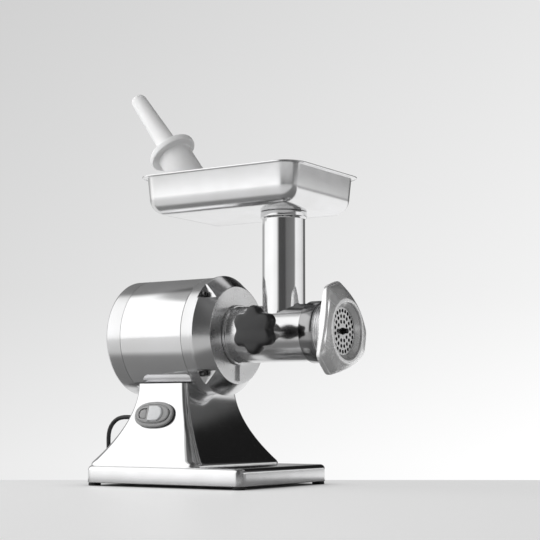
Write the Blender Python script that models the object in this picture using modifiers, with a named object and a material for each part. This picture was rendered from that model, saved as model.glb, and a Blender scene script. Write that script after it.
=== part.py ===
"""Electric meat grinder with a No. 12 head: a motor drum on a flared cast base, a two-stage gear train in the
drum's nose, a clamped grinding head with its feed tube and pan, and a pusher.

Metres, +Z up. The outlet faces -Y and the mains cord leaves at +Y. The origin is the bottom centre of the
machine.
"""

import math

import bmesh
import bpy
from mathutils import Matrix, Vector

# ---------------------------------------------------------------- driving dimensions
GAP = 0.0003  # clearance between touching pieces
FINE = 40  # facets round a large piece
MEDIUM = 28
COARSE = 14
AXIS_Z = 0.2010  # height of the drum, auger and outlet axis

PLINTH_HALF_X = 0.1070
PLINTH_FRONT = -0.0779
PLINTH_REAR = 0.1752
PLINTH_BOTTOM = 0.0040
PLINTH_SIDE_TOP = 0.0205  # where the straight side ends and the rounded edge starts
PLINTH_TOP = 0.0270
PLINTH_CORNER = 0.0120
CASTING_WALL = 0.0040

PEDESTAL_TOP = 0.1360
PEDESTAL_FOOT_Z = 0.0300
PEDESTAL_TOP_HALF_X = 0.0605
PEDESTAL_TOP_FRONT = 0.0431
PEDESTAL_TOP_REAR = 0.1239
PEDESTAL_TOP_CORNER = 0.0080
PEDESTAL_FOOT_HALF_X = 0.1035
PEDESTAL_FOOT_FRONT = -0.0064
PEDESTAL_FOOT_REAR = 0.1750
PEDESTAL_FOOT_CORNER = 0.0170
FLARE_POWER = 1.9

DRUM_RADIUS = 0.0793
DRUM_WALL = 0.0025
COVER_FACE_Y = -0.0008  # flat polished disc of the front cover
DISC_RADIUS = 0.0660
COVER_RIM_RADIUS = 0.0812
CONE_REAR_Y = 0.0178
RIM_REAR_Y = 0.0215
DRUM_FRONT_Y = 0.0380
DRUM_REAR_Y = 0.1390
REAR_COVER_Y = 0.1655
COVER_WALL = 0.0045
COVER_SPIGOT = 0.0060

SLEEVE_RADIUS = 0.0378
SLEEVE_BORE = 0.0335
SLEEVE_FRONT_Y = -0.1196
FLANGE_RADIUS = 0.0405
SLEEVE_FLANGE_Y = -0.0050

SHANK_RADIUS = SLEEVE_BORE - GAP
BARREL_BORE = 0.0302
BARREL_REAR_Y = -0.0020
BARREL_FLANGE_FRONT_Y = -0.1385
THREAD_RADIUS = 0.0385
BARREL_FRONT_Y = -0.1620

PLATE_RADIUS = 0.0350
PLATE_FRONT_Y = -0.1629
PLATE_THICKNESS = 0.0080
PLATE_HOLE_RADIUS = 0.0026

NUT_FRONT_Y = -0.1712
NUT_REAR_Y = -0.1550
NUT_OPENING_RADIUS = 0.0370
NUT_RIM_RADIUS = 0.0422
NUT_SIDE_RADIUS = 0.0486  # half way between two ears
NUT_EAR_REACH = 0.0636
NUT_EAR_HALF_WIDTH = 0.0165
NUT_EARS = 3
NUT_TURN = math.radians(107.5)  # direction of the first ear

TUBE_Y = -0.0735  # vertical axis of the feed tube
TUBE_RADIUS = 0.0285
TUBE_BORE = 0.0265
TUBE_TOP = 0.3620
TUBE_LIP_RADIUS = 0.0310

TRAY_HALF_X = 0.0940
TRAY_FRONT = -0.1460
TRAY_REAR = 0.1080
TRAY_RIM_TOP = 0.4145
TRAY_RIM_DROP = 0.0030  # turned-down outer edge of the rim
TRAY_BOTTOM_Z = 0.3625
TRAY_SHEET = 0.0014
TRAY_LIP = 0.0075
TRAY_CORNER = 0.0310
TRAY_DRAFT = 0.0030
TRAY_FLOOR_ROUND = 0.0230

KNOB_Y = -0.0800
KNOB_RADIUS = 0.0315
KNOB_BACK_X = -0.0735
KNOB_FACE_X = -0.0890
BOSS_RADIUS = 0.0116
BOSS_FACE_X = -0.0550
STUD_RADIUS = 0.0042

PUSHER_X = -0.0200
PUSHER_FLANGE = Vector((PUSHER_X, 0.0971, 0.4580))
PUSHER_BODY_LENGTH = 0.0940
PUSHER_LEAN = math.radians(36.7)  # from the vertical, towards the rear

SWITCH_Y = 0.0866
SWITCH_Z = 0.0935
SWITCH_HALF_LENGTH = 0.0316
SWITCH_HALF_HEIGHT = 0.0178

# gear train: two equal stages on parallel shafts
GEAR_MODULE = 0.0010
PINION_TEETH = 14
WHEEL_TEETH = 42
CENTRE_DISTANCE = GEAR_MODULE * (PINION_TEETH + WHEEL_TEETH) / 2
SHAFT_RADIUS = 0.0060
OUTPUT_RADIUS = 0.0125
SQUARE_TAIL = 0.0134

CORD_DIAMETER = 0.0060
CORD_EXIT = Vector((-0.0220, 0.1575, 0.0910))

PARTS = bpy.data.collections.new("electric_meat_grinder")
CUTTERS = bpy.data.collections.new("cutters")
AXIS = Vector((0.0, 0.0, AXIS_Z))
ALONG_Y = Matrix.Rotation(math.radians(90), 4, "X")  # local +Z to world -Y
ALONG_MINUS_X = Matrix.Rotation(math.radians(-90), 4, "Y")  # local +Z to world -X


# ---------------------------------------------------------------- scene and materials
def clear_scene():
    for item in list(bpy.data.objects):
        bpy.data.objects.remove(item, do_unlink=True)
    bpy.context.scene.collection.children.link(PARTS)
    bpy.context.scene.collection.children.link(CUTTERS)
    CUTTERS.hide_render = True


def finish_material(name, colour, metallic, roughness):
    material = bpy.data.materials.get(name)
    if material is None:
        material = bpy.data.materials.new(name)
        material.use_nodes = True
        shader = material.node_tree.nodes["Principled BSDF"]
        shader.inputs["Base Color"].default_value = (*colour, 1.0)
        shader.inputs["Metallic"].default_value = metallic
        shader.inputs["Roughness"].default_value = roughness
    return material


FINISHES = {
    "cast_aluminium": ((0.82, 0.82, 0.83), 1.0, 0.30),
    "polished_steel": ((0.75, 0.75, 0.76), 1.0, 0.12),
    "brushed_steel": ((0.68, 0.68, 0.69), 1.0, 0.28),
    "dark_steel": ((0.22, 0.22, 0.23), 1.0, 0.40),
    "zinc_steel": ((0.60, 0.60, 0.58), 1.0, 0.35),
    "copper": ((0.72, 0.38, 0.20), 1.0, 0.35),
    "black_plastic": ((0.02, 0.02, 0.02), 0.0, 0.40),
    "grey_plastic": ((0.45, 0.46, 0.47), 0.0, 0.40),
    "white_plastic": ((0.90, 0.90, 0.90), 0.0, 0.35),
    "black_rubber": ((0.03, 0.03, 0.03), 0.0, 0.70),
    "cord_jacket": ((0.02, 0.02, 0.02), 0.0, 0.50),
}


# ---------------------------------------------------------------- shape helpers
def add_object(name, data, finish=None, matrix=None):
    """Places an object in the assembly, or among the cutters when it has no finish."""
    item = bpy.data.objects.new(name, data)
    if matrix is not None:
        item.matrix_world = matrix
    if finish is None:
        CUTTERS.objects.link(item)
        item.hide_render = True
        item.display_type = "WIRE"
    else:
        PARTS.objects.link(item)
        data.materials.append(finish_material(finish, *FINISHES[finish]))
    return item


def mesh_from(name, fill):
    """Makes a mesh with the function fill(bm), with its normals facing out and its round sides smooth."""
    mesh = bpy.data.meshes.new(name)
    bm = bmesh.new()
    fill(bm)
    bmesh.ops.recalc_face_normals(bm, faces=bm.faces)
    bm.to_mesh(mesh)
    bm.free()
    mesh.shade_smooth()
    mesh.set_sharp_from_angle(angle=math.radians(35))
    return mesh


def turned(name, profile, finish=None, matrix=None, steps=MEDIUM):
    """A turned piece. The profile is (radius, height) from the top down the outer side, and it closes on
    itself unless both its ends lie on the axis."""
    mesh = bpy.data.meshes.new(name)
    bm = bmesh.new()
    points = [bm.verts.new((radius, 0.0, height)) for radius, height in profile]
    for first, second in zip(points, points[1:]):
        bm.edges.new((first, second))
    if profile[0][0] > 0 or profile[-1][0] > 0:
        bm.edges.new((points[-1], points[0]))
    bm.to_mesh(mesh)
    bm.free()
    item = add_object(name, mesh, finish, matrix)
    screw = item.modifiers.new("turn", "SCREW")
    screw.steps = steps
    screw.render_steps = steps
    screw.use_merge_vertices = True
    screw.merge_threshold = 0.00001
    screw.use_smooth_shade = True
    return item


def about_axis(name, profile, finish=None, steps=FINE, centre=AXIS):
    """A turned piece on an axis along Y. The profile is (radius, y), from its rear end forward down the
    outer side for a solid piece, and on round through the bore for a ring."""
    flipped = [(radius, -(y - centre.y)) for radius, y in reversed(profile)]
    return turned(name, flipped, finish, Matrix.Translation(centre) @ ALONG_Y, steps)


def ring(name, outer, inner, front, rear, finish=None, steps=MEDIUM, centre=AXIS):
    profile = [(outer, rear), (outer, front), (inner, front), (inner, rear)]
    return about_axis(name, profile, finish, steps, centre)


def rod(name, radius, front, rear, finish=None, steps=COARSE, centre=AXIS):
    return about_axis(name, [(0, rear), (radius, rear), (radius, front), (0, front)], finish, steps, centre)


def cylinder(name, radius, depth, finish=None, matrix=None, segments=COARSE):
    def fill(bm):
        bmesh.ops.create_cone(
            bm, cap_ends=True, segments=segments, radius1=radius, radius2=radius, depth=depth
        )

    return add_object(name, mesh_from(name, fill), finish, matrix)


def box(name, low, high, finish=None, bevel=0.0):
    size = Vector(high) - Vector(low)

    def fill(bm):
        bmesh.ops.create_cube(bm, size=1.0)
        bmesh.ops.scale(bm, vec=size, verts=bm.verts)

    middle = (Vector(low) + Vector(high)) / 2
    item = add_object(name, mesh_from(name, fill), finish, Matrix.Translation(middle))
    if bevel:
        edge = item.modifiers.new("edge", "BEVEL")
        edge.width = bevel
        edge.segments = 2
    return item


def loft(name, rings, finish=None, matrix=None, closed=False):
    """Skins rings of equally many points. Open lofts get a cap at each end, closed ones join the last
    ring to the first."""

    def fill(bm):
        rows = [[bm.verts.new(point) for point in points] for points in rings]
        pairs = list(zip(rows, rows[1:]))
        if closed:
            pairs.append((rows[-1], rows[0]))
        for lower, upper in pairs:
            for i in range(len(lower)):
                j = (i + 1) % len(lower)
                bm.faces.new((lower[i], lower[j], upper[j], upper[i]))
        if not closed:
            bm.faces.new(rows[0])
            bm.faces.new(rows[-1])

    return add_object(name, mesh_from(name, fill), finish, matrix)


def rounded_rectangle(half_x, front, rear, corner, z, per_corner=4):
    """Points of a rectangle with round corners at height z, counter-clockwise from above."""
    corner = min(corner, half_x - 0.001, (rear - front) / 2 - 0.001)
    centres = (
        (half_x - corner, rear - corner),
        (corner - half_x, rear - corner),
        (corner - half_x, front + corner),
        (half_x - corner, front + corner),
    )
    points = []
    for quarter, (x, y) in enumerate(centres):
        for step in range(per_corner):
            angle = math.pi / 2 * (quarter + step / (per_corner - 1))
            points.append((x + corner * math.cos(angle), y + corner * math.sin(angle), z))
    return points


def cut(item, cutter, operation="DIFFERENCE"):
    modifier = item.modifiers.new(operation.lower(), "BOOLEAN")
    modifier.operation = operation
    modifier.object = cutter
    modifier.solver = "EXACT"


def outline(name, loops, thickness, finish=None, matrix=None):
    """A flat piece from closed outlines in local XY, the first outside and the others holes, centred in Z."""
    curve = bpy.data.curves.new(name, "CURVE")
    curve.dimensions = "2D"
    curve.fill_mode = "BOTH"
    curve.extrude = thickness / 2
    for loop in loops:
        spline = curve.splines.new("POLY")
        spline.points.add(len(loop) - 1)
        for point, (x, y) in zip(spline.points, loop):
            point.co = (x, y, 0.0, 1.0)
        spline.use_cyclic_u = True
    return add_object(name, curve, finish, matrix)


def circle(radius, points=24, centre=(0.0, 0.0)):
    turn = [2 * math.pi * i / points for i in range(points)]
    return [(centre[0] + radius * math.cos(a), centre[1] + radius * math.sin(a)) for a in turn]


def across_y(y, x=0.0, z=AXIS_Z, turn=0.0):
    """Matrix of a flat piece that stands across the Y axis at y."""
    return Matrix.Translation((x, y, z)) @ ALONG_Y @ Matrix.Rotation(turn, 4, "Z")


# ---------------------------------------------------------------- base
def flare_section(z, inset=0.0):
    """Pedestal's rounded rectangle at height z, moved in by inset."""
    t = min(1.0, (PEDESTAL_TOP - z) / (PEDESTAL_TOP - PEDESTAL_FOOT_Z))
    grow = max(0.0, t) ** FLARE_POWER
    half_x = PEDESTAL_TOP_HALF_X + (PEDESTAL_FOOT_HALF_X - PEDESTAL_TOP_HALF_X) * grow - inset
    front = PEDESTAL_TOP_FRONT + (PEDESTAL_FOOT_FRONT - PEDESTAL_TOP_FRONT) * grow + inset
    rear = PEDESTAL_TOP_REAR + (PEDESTAL_FOOT_REAR - PEDESTAL_TOP_REAR) * grow - inset
    corner = PEDESTAL_TOP_CORNER + (PEDESTAL_FOOT_CORNER - PEDESTAL_TOP_CORNER) * grow
    return rounded_rectangle(half_x, front, rear, corner, z)


def plinth_rings(inset, bottom):
    """Plinth with a rounded upper edge."""
    round_edge = PLINTH_TOP - PLINTH_SIDE_TOP
    rings = [(0.0, bottom), (0.0, PLINTH_SIDE_TOP)]
    for step in (1, 2, 3):
        angle = math.pi / 2 * step / 3
        rings.append((round_edge * (1 - math.cos(angle)), PLINTH_SIDE_TOP + round_edge * math.sin(angle)))
    return [
        rounded_rectangle(
            PLINTH_HALF_X - inset - step_in,
            PLINTH_FRONT + inset + step_in,
            PLINTH_REAR - inset - step_in,
            PLINTH_CORNER - inset,
            z - (inset if z > bottom else 0.0),
        )
        for step_in, z in rings
    ]


def make_base():
    casting = loft("base_casting", plinth_rings(0.0, PLINTH_BOTTOM), "cast_aluminium")
    heights = [PEDESTAL_FOOT_Z - 0.006, 0.030, 0.037, 0.046, 0.058, 0.073, 0.093, 0.113, PEDESTAL_TOP]
    cut(casting, loft("pedestal_body", [flare_section(z) for z in heights]), "UNION")
    cut(casting, cylinder("saddle_cutter", DRUM_RADIUS + GAP, 0.3, None, across_y(0.09), FINE))
    hollow = [flare_section(z, CASTING_WALL) for z in (0.020, 0.036, 0.052, 0.077, 0.100, 0.1165)]
    cut(casting, loft("pedestal_hollow", hollow))
    cut(casting, loft("plinth_hollow", plinth_rings(CASTING_WALL, PLINTH_BOTTOM - 0.004)))
    cut(casting, gland_cutter())
    cut(casting, switch_cutter())
    plate = rounded_rectangle(
        PLINTH_HALF_X - CASTING_WALL - GAP,
        PLINTH_FRONT + CASTING_WALL + GAP,
        PLINTH_REAR - CASTING_WALL - GAP,
        PLINTH_CORNER - CASTING_WALL - GAP,
        0.0,
    )
    holes = [circle(0.0026, 12, (x, y)) for x, y in FOOT_PLACES]
    outline(
        "base_plate",
        [[(x, y) for x, y, _ in plate]] + holes,
        0.0015,
        "zinc_steel",
        Matrix.Translation((0, 0, PLINTH_BOTTOM + 0.0017)),
    )
    for number, (x, y) in enumerate(FOOT_PLACES, 1):
        place = Matrix.Translation((x, y, 0))
        turned(f"foot_{number}", FOOT_PROFILE, "black_rubber", place, COARSE)
        turned(f"foot_screw_{number}", FOOT_SCREW_PROFILE, "zinc_steel", place, 8)


FOOT_INSET = 0.0100
FOOT_PROFILE = [
    (0.0026, 0.0047),
    (0.0045, 0.0047),
    (0.0045, 0.0037),
    (0.0080, 0.0037),
    (0.0085, 0.0012),
    (0.0077, 0.0),
    (0.0050, 0.0),
    (0.0050, 0.0022),
    (0.0026, 0.0022),
]
FOOT_SCREW_PROFILE = [
    (0, 0.0140),
    (0.0023, 0.0140),
    (0.0023, 0.0019),
    (0.0045, 0.0019),
    (0.0045, 0.0006),
    (0, 0.0006),
]
FOOT_PLACES = [
    (side * (PLINTH_HALF_X - FOOT_INSET), y)
    for y in (PLINTH_FRONT + FOOT_INSET, PLINTH_REAR - FOOT_INSET)
    for side in (-1, 1)
]


def pedestal_side_x(z):
    """Outer X of the pedestal's left side at height z, a negative number."""
    return min(x for x, _, _ in flare_section(z))


def pedestal_rear_y(z):
    return max(y for _, y, _ in flare_section(z))


# ---------------------------------------------------------------- switch, on the pedestal's left side
def switch_frame():
    """Local X runs forward along the side face, local Y up it, and local Z out of it."""
    low = Vector((pedestal_side_x(SWITCH_Z - 0.010), 0, SWITCH_Z - 0.010))
    high = Vector((pedestal_side_x(SWITCH_Z + 0.010), 0, SWITCH_Z + 0.010))
    up = (high - low).normalized()
    forward = Vector((0, -1, 0))
    out = forward.cross(up)
    turn = Matrix((forward, up, out)).transposed().to_4x4()
    return Matrix.Translation((pedestal_side_x(SWITCH_Z), SWITCH_Y, SWITCH_Z)) @ turn


def oval(half_length, half_height, points=24):
    """Egg-smooth oval, a superellipse a little fuller than an ellipse."""
    loop = []
    for i in range(points):
        angle = 2 * math.pi * i / points
        c = math.cos(angle)
        s = math.sin(angle)
        loop.append(
            (
                half_length * math.copysign(abs(c) ** 0.85, c),
                half_height * math.copysign(abs(s) ** 0.85, s),
            )
        )
    return loop


def lifted(loop, height):
    return [(x, y, height) for x, y in loop]


def button_loop(start, end, half_height, round_end, points=9):
    """Outline of a button between local X start and end, straight at one end and round at the other."""
    reach = min(half_height, abs(end - start))
    direction = math.copysign(1.0, end - start)
    loop = [(start, -half_height)] if round_end else []
    for i in range(points):
        angle = -math.pi / 2 + math.pi * i / (points - 1)
        along = end - direction * reach * (1 - math.cos(angle))
        loop.append((along, half_height * math.sin(angle)))
    loop.append((start, half_height))
    if not round_end:
        loop.insert(0, (start, -half_height))
    return loop if direction > 0 else loop[::-1]


STOP_SPAN = (-0.0100, -0.0225)
START_SPAN = (-0.0060, 0.0170)
BUTTON_HALF_HEIGHT = 0.0105


def switch_cutter():
    return loft(
        "switch_cutter",
        [lifted(oval(0.0235, 0.0125), -0.020), lifted(oval(0.0235, 0.0125), 0.020)],
        None,
        switch_frame(),
    )


def make_switch():
    frame = switch_frame()
    rings = [
        lifted(oval(0.0232, 0.0122), -0.0050),
        lifted(oval(0.0232, 0.0122), 0.0020),
        lifted(oval(SWITCH_HALF_LENGTH, SWITCH_HALF_HEIGHT), 0.0020),
        lifted(oval(SWITCH_HALF_LENGTH - 0.0005, SWITCH_HALF_HEIGHT - 0.0005), 0.0045),
        lifted(oval(SWITCH_HALF_LENGTH - 0.0030, SWITCH_HALF_HEIGHT - 0.0030), 0.0070),
    ]
    bezel = loft("switch_bezel", rings, "grey_plastic", frame)
    for name, span, top in (("stop", STOP_SPAN, 0.0068), ("start", START_SPAN, 0.0098)):
        half = BUTTON_HALF_HEIGHT if name == "start" else 0.0070
        well = button_loop(span[0], span[1], half + GAP, True)
        grown = [(x + math.copysign(GAP, x - sum(span) / 2), y) for x, y in well]
        cut(bezel, loft(f"{name}_well", [lifted(grown, -0.010), lifted(grown, 0.015)], None, frame))
        cap = button_loop(span[0], span[1], half, True)
        small = [(sum(span) / 2 + (x - sum(span) / 2) * 0.93, y * 0.93) for x, y in cap]
        loft(
            f"{name}_button",
            [lifted(cap, -0.0035), lifted(cap, top - 0.0010), lifted(small, top)],
            "white_plastic" if name == "start" else "grey_plastic",
            frame,
        )
    body = box("switch_body", (-0.0190, -0.0110, -0.0330), (0.0190, 0.0110, -0.0075), "black_plastic", 0.001)
    body.matrix_world = frame @ body.matrix_world


# ---------------------------------------------------------------- electrics in the pedestal, and the cord
def gland_matrix():
    return Matrix.Translation((CORD_EXIT.x, 0.0, CORD_EXIT.z))


def gland_cutter():
    across = gland_matrix() @ across_y(pedestal_rear_y(CORD_EXIT.z), 0, 0)
    return cylinder("gland_cutter", 0.0072, 0.06, None, across)


def make_electrics():
    face = pedestal_rear_y(CORD_EXIT.z - 0.0105) + GAP
    centre = Vector((CORD_EXIT.x, 0.0, CORD_EXIT.z))
    bore = CORD_DIAMETER / 2 + GAP
    profile = [
        (0.0069, face - 0.0140),
        (0.0069, face),
        (0.0100, face),
        (0.0100, face + 0.0040),
        (0.0062, face + 0.0055),
        (0.0046, CORD_EXIT.y),
        (bore, CORD_EXIT.y),
        (bore, face - 0.0140),
    ]
    about_axis("cable_gland", profile[::-1], "black_rubber", 20, centre)
    cylinder(
        "run_capacitor",
        0.0150,
        0.0550,
        "grey_plastic",
        Matrix.Translation((0.0280, 0.0600, 0.0400)) @ Matrix.Rotation(math.radians(90), 4, "X"),
    )
    box("terminal_block", (-0.0100, 0.0950, 0.0300), (0.0300, 0.1150, 0.0460), "white_plastic", 0.001)


CORD_ROUTE = [
    (-0.0220, 0.1578, 0.0910),
    (-0.0220, 0.1660, 0.0910),
    (-0.0220, 0.1760, 0.0910),
    (-0.0220, 0.1867, 0.0889),
    (-0.0219, 0.1958, 0.0828),
    (-0.0217, 0.2019, 0.0737),
    (-0.0214, 0.2040, 0.0630),
    (-0.0210, 0.2041, 0.0510),
    (-0.0207, 0.2043, 0.0390),
    (-0.0206, 0.2045, 0.0294),
    (-0.0186, 0.2050, 0.0195),
    (-0.0130, 0.2055, 0.0110),
    (-0.0045, 0.2060, 0.0054),
    (0.0054, 0.2062, 0.0034),
    (0.0200, 0.2050, 0.0034),
    (0.0380, 0.2022, 0.0034),
    (0.0570, 0.2000, 0.0034),
    (0.0770, 0.2000, 0.0034),
]
COIL_CENTRE = Vector((0.1000, 0.2400, 0.0))
COIL_RADIUS = 0.0340
COIL_HALF_WIDTH = 0.0090
COIL_HEIGHT = 0.0126
PLUG_NOSE = Vector((0.1230, 0.2000, 0.0172))
PLUG_RADIUS = 0.0165
PLUG_PIN_RADIUS = 0.0024
PLUG_PIN_SPREAD = 0.0095  # half the distance between the pins


def smooth_route(points, spacing):
    """Points at about this spacing on a Catmull-Rom curve through the route's points."""
    ends = [2 * Vector(points[0]) - Vector(points[1])]
    ends += [Vector(point) for point in points]
    ends.append(2 * ends[-1] - ends[-2])
    route = [ends[1]]
    for before, start, end, after in zip(ends, ends[1:], ends[2:], ends[3:]):
        count = max(1, round((end - start).length / spacing))
        for step in range(1, count + 1):
            t = step / count
            route.append(
                0.5
                * (
                    2 * start
                    + (end - before) * t
                    + (2 * before - 5 * start + 4 * end - after) * t * t
                    + (3 * start - before - 3 * end + after) * t**3
                )
            )
    return route


def make_cord():
    curve = bpy.data.curves.new("power_cord", "CURVE")
    curve.dimensions = "3D"
    curve.bevel_depth = CORD_DIAMETER / 2
    curve.bevel_resolution = 2
    curve.use_fill_caps = True
    spline = curve.splines.new("POLY")
    route = smooth_route(CORD_ROUTE, 0.0120)
    spline.points.add(len(route) - 1)
    for point, place in zip(spline.points, route):
        point.co = (*place, 1.0)
    add_object("power_cord", curve, "cord_jacket")


# ---------------------------------------------------------------- motor
REAR_BEARING_OUTER = 0.0150
REAR_BEARING_Y = 0.1475


def make_motor():
    ring("motor_tube", DRUM_RADIUS, DRUM_RADIUS - DRUM_WALL, DRUM_FRONT_Y, DRUM_REAR_Y, "brushed_steel", FINE)
    inner = DRUM_RADIUS - DRUM_WALL - GAP
    joint = DRUM_REAR_Y + GAP
    rear = [
        (0, REAR_COVER_Y - COVER_WALL),
        (REAR_BEARING_OUTER + GAP, REAR_COVER_Y - COVER_WALL),
        (REAR_BEARING_OUTER + GAP, REAR_BEARING_Y),
        (REAR_BEARING_OUTER + 0.0040, REAR_BEARING_Y),
        (REAR_BEARING_OUTER + 0.0040, REAR_COVER_Y - COVER_WALL),
        (DRUM_RADIUS - COVER_WALL - 0.004, REAR_COVER_Y - COVER_WALL),
        (inner - COVER_WALL, DRUM_REAR_Y - COVER_SPIGOT),
        (inner, DRUM_REAR_Y - COVER_SPIGOT),
        (inner, joint),
        (DRUM_RADIUS, joint),
    ]
    edge = 0.0060
    for step in range(5):
        angle = math.pi / 2 * step / 4
        rear.append((DRUM_RADIUS - edge * (1 - math.cos(angle)), REAR_COVER_Y - edge * (1 - math.sin(angle))))
    rear.append((0, REAR_COVER_Y))
    about_axis("rear_cover", rear[::-1], "polished_steel", FINE)
    make_front_cover(inner)
    make_stator()
    make_rotor()


SCREW_ANGLES = [math.radians(angle) for angle in (45, 135, 225, 315)]
SCREW_CIRCLE = 0.0750
SCREW_SEAT_Y = RIM_REAR_Y - 0.0010
NOTCH_TIP = 0.0680  # distance of a screw notch's tip from the axis
NOTCH_HALF_ANGLE = math.radians(48)


def screw_notch(number, angle):
    """Cutter of the V-shaped notch that leaves a screw head free, open to the rim and to the front."""
    reach = 0.0240
    side = reach * math.tan(NOTCH_HALF_ANGLE)
    loop = [(NOTCH_TIP, 0.0), (NOTCH_TIP + reach, -side), (NOTCH_TIP + reach, side)]
    return loft(
        f"screw_notch_{number}",
        [lifted(loop, 0.0), lifted(loop, 0.0300)],
        None,
        across_y(SCREW_SEAT_Y, turn=angle),
    )


def make_front_cover(inner):
    joint = DRUM_FRONT_Y - GAP
    profile = [
        (SLEEVE_SPIGOT + GAP, COVER_FACE_Y),
        (DISC_RADIUS - 0.001, COVER_FACE_Y),
        (DISC_RADIUS, COVER_FACE_Y + 0.001),
        (COVER_RIM_RADIUS, CONE_REAR_Y),
        (COVER_RIM_RADIUS, RIM_REAR_Y),
        (DRUM_RADIUS, RIM_REAR_Y + 0.0005),
        (DRUM_RADIUS, joint),
        (inner, joint),
        (inner, DRUM_FRONT_Y + COVER_SPIGOT),
        (inner - COVER_WALL, DRUM_FRONT_Y + COVER_SPIGOT),
        (inner - COVER_WALL, 0.0290),
        (0.0645, 0.0275),
        (DISC_RADIUS - 0.004, COVER_INSIDE_Y),
        (SLEEVE_SPIGOT + GAP, COVER_INSIDE_Y),
    ]
    cover = about_axis("front_cover", profile[::-1], "polished_steel", FINE)
    for number, angle in enumerate(SCREW_ANGLES, 1):
        x = SCREW_CIRCLE * math.cos(angle)
        z = AXIS_Z + SCREW_CIRCLE * math.sin(angle)
        cut(cover, screw_notch(number, angle))
        cut(cover, cylinder(f"screw_hole_{number}", 0.0023, 0.0300, None, across_y(SCREW_SEAT_Y, x, z), 8))
        make_socket_screw(f"cover_screw_{number}", Vector((x, SCREW_SEAT_Y - GAP, z)))
    rib = box(
        "disc_rib",
        (-0.0020, SLEEVE_FLANGE_Y, AXIS_Z - DISC_RADIUS + 0.004),
        (0.0020, COVER_FACE_Y + 0.0020, AXIS_Z - FLANGE_RADIUS - GAP),
    )
    cut(cover, rib, "UNION")


def make_socket_screw(name, seat):
    """A socket-head cap screw whose head bears on seat and whose shank runs rearward."""
    head = 0.0040
    profile = [
        (0, seat.y + 0.0130),
        (0.0020, seat.y + 0.0130),
        (0.0020, seat.y),
        (0.0037, seat.y),
        (0.0037, seat.y - head),
        (0.0022, seat.y - head),
        (0.0022, seat.y - 0.0020),
        (0, seat.y - 0.0020),
    ]
    about_axis(name, profile, "dark_steel", 12, Vector((seat.x, 0.0, seat.z)))


STATOR_FRONT_Y = 0.0780
STATOR_REAR_Y = 0.1220
STATOR_OUTER = 0.0762
STATOR_BORE = 0.0395
ROTOR_RADIUS = 0.0388


def make_stator():
    ring("stator_core", STATOR_OUTER, STATOR_BORE, STATOR_FRONT_Y, STATOR_REAR_Y, "dark_steel", MEDIUM)
    for end, near, far in (
        ("front", STATOR_FRONT_Y - GAP, STATOR_FRONT_Y - 0.0150),
        ("rear", STATOR_REAR_Y + 0.0150, STATOR_REAR_Y + GAP),
    ):
        front = min(near, far)
        rear = max(near, far)
        profile = [
            (0.0680, rear - 0.003),
            (0.0680, front + 0.003),
            (0.0640, front),
            (0.0470, front),
            (0.0430, front + 0.003),
            (0.0430, rear - 0.003),
            (0.0470, rear),
            (0.0640, rear),
        ]
        about_axis(f"winding_{end}", profile, "copper", 20)


def make_rotor():
    ring("rotor_core", ROTOR_RADIUS, SHAFT_RADIUS + GAP, STATOR_FRONT_Y, STATOR_REAR_Y, "dark_steel", 24)
    nose = STAGE_ONE_Y - FACE_WIDTH_ONE / 2 - 0.0015
    shoulder = STAGE_ONE_Y + FACE_WIDTH_ONE / 2 + 0.0010
    rear = REAR_COVER_Y - COVER_WALL - 0.0010
    profile = [(0, nose), (0.0045, nose), (0.0045, shoulder)]
    profile += [(SHAFT_RADIUS, shoulder), (SHAFT_RADIUS, rear), (0, rear)]
    about_axis("rotor_shaft", profile[::-1], "zinc_steel", COARSE)
    bearing_ring("rear_bearing", REAR_BEARING_OUTER, SHAFT_RADIUS, REAR_BEARING_Y, REAR_BEARING_Y + 0.0090)
    bearing_ring("front_bearing", 0.0140, SHAFT_RADIUS, PLATE_PLANE_Y + GAP, PLATE_PLANE_Y + 0.0080)
    make_fan()
    make_gearbox_plate()
    make_layshaft_arm()
    make_gears()


def bearing_ring(name, outer, shaft, front, rear):
    """A ball bearing as one ring, from its outer race to its inner one."""
    ring(name, outer, shaft + GAP, front, rear, "zinc_steel", 20)


FAN_Y = 0.1425
FAN_BLADES = 9


def make_fan():
    hub = ring("cooling_fan", 0.0140, SHAFT_RADIUS + GAP, FAN_Y - 0.0040, FAN_Y + 0.0040, "black_plastic", 24)
    for number in range(FAN_BLADES):
        turn = 2 * math.pi * number / FAN_BLADES
        blade = box(f"fan_blade_{number}", (0.0120, -0.0010, -0.0035), (0.0540, 0.0010, 0.0035))
        blade.matrix_world = across_y(FAN_Y, 0, AXIS_Z, turn) @ blade.matrix_world
        cut(hub, blade, "UNION")


# ---------------------------------------------------------------- gear train
SLEEVE_SPIGOT = 0.0310
COVER_INSIDE_Y = 0.0070
BEARING_OUTER = 0.0255
BEARING_FRONT_Y = 0.0100
BEARING_REAR_Y = 0.0210
LAY_FRONT_Y = 0.0232
STAGE_TWO_Y = 0.0320  # middle of the output stage
STAGE_ONE_Y = 0.0440  # middle of the motor stage
FACE_WIDTH_TWO = 0.0100
FACE_WIDTH_ONE = 0.0080
PLATE_PLANE_Y = 0.0520  # front face of the gearbox plate


def gear_outline(teeth, shrink):
    """Straight-flanked teeth on the pitch circle, each flank drawn in by shrink for backlash."""
    pitch_radius = GEAR_MODULE * teeth / 2
    root = pitch_radius - 1.50 * GEAR_MODULE
    tip = pitch_radius + 0.75 * GEAR_MODULE
    step = 2 * math.pi / teeth
    loop = []
    for tooth in range(teeth):
        middle = step * tooth
        for radius, share in ((tip, -0.13), (tip, 0.13), (root, 0.5)):
            angle = middle + share * step - math.copysign(shrink / radius, share) * (radius == tip)
            loop.append((radius * math.cos(angle), radius * math.sin(angle)))
    return loop


def gear(name, teeth, bore, y, width, x, z, turn):
    loops = [gear_outline(teeth, 0.00015), circle(bore, COARSE)[::-1]]
    outline(name, loops, width, "zinc_steel", across_y(y, x, z, turn))


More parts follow.
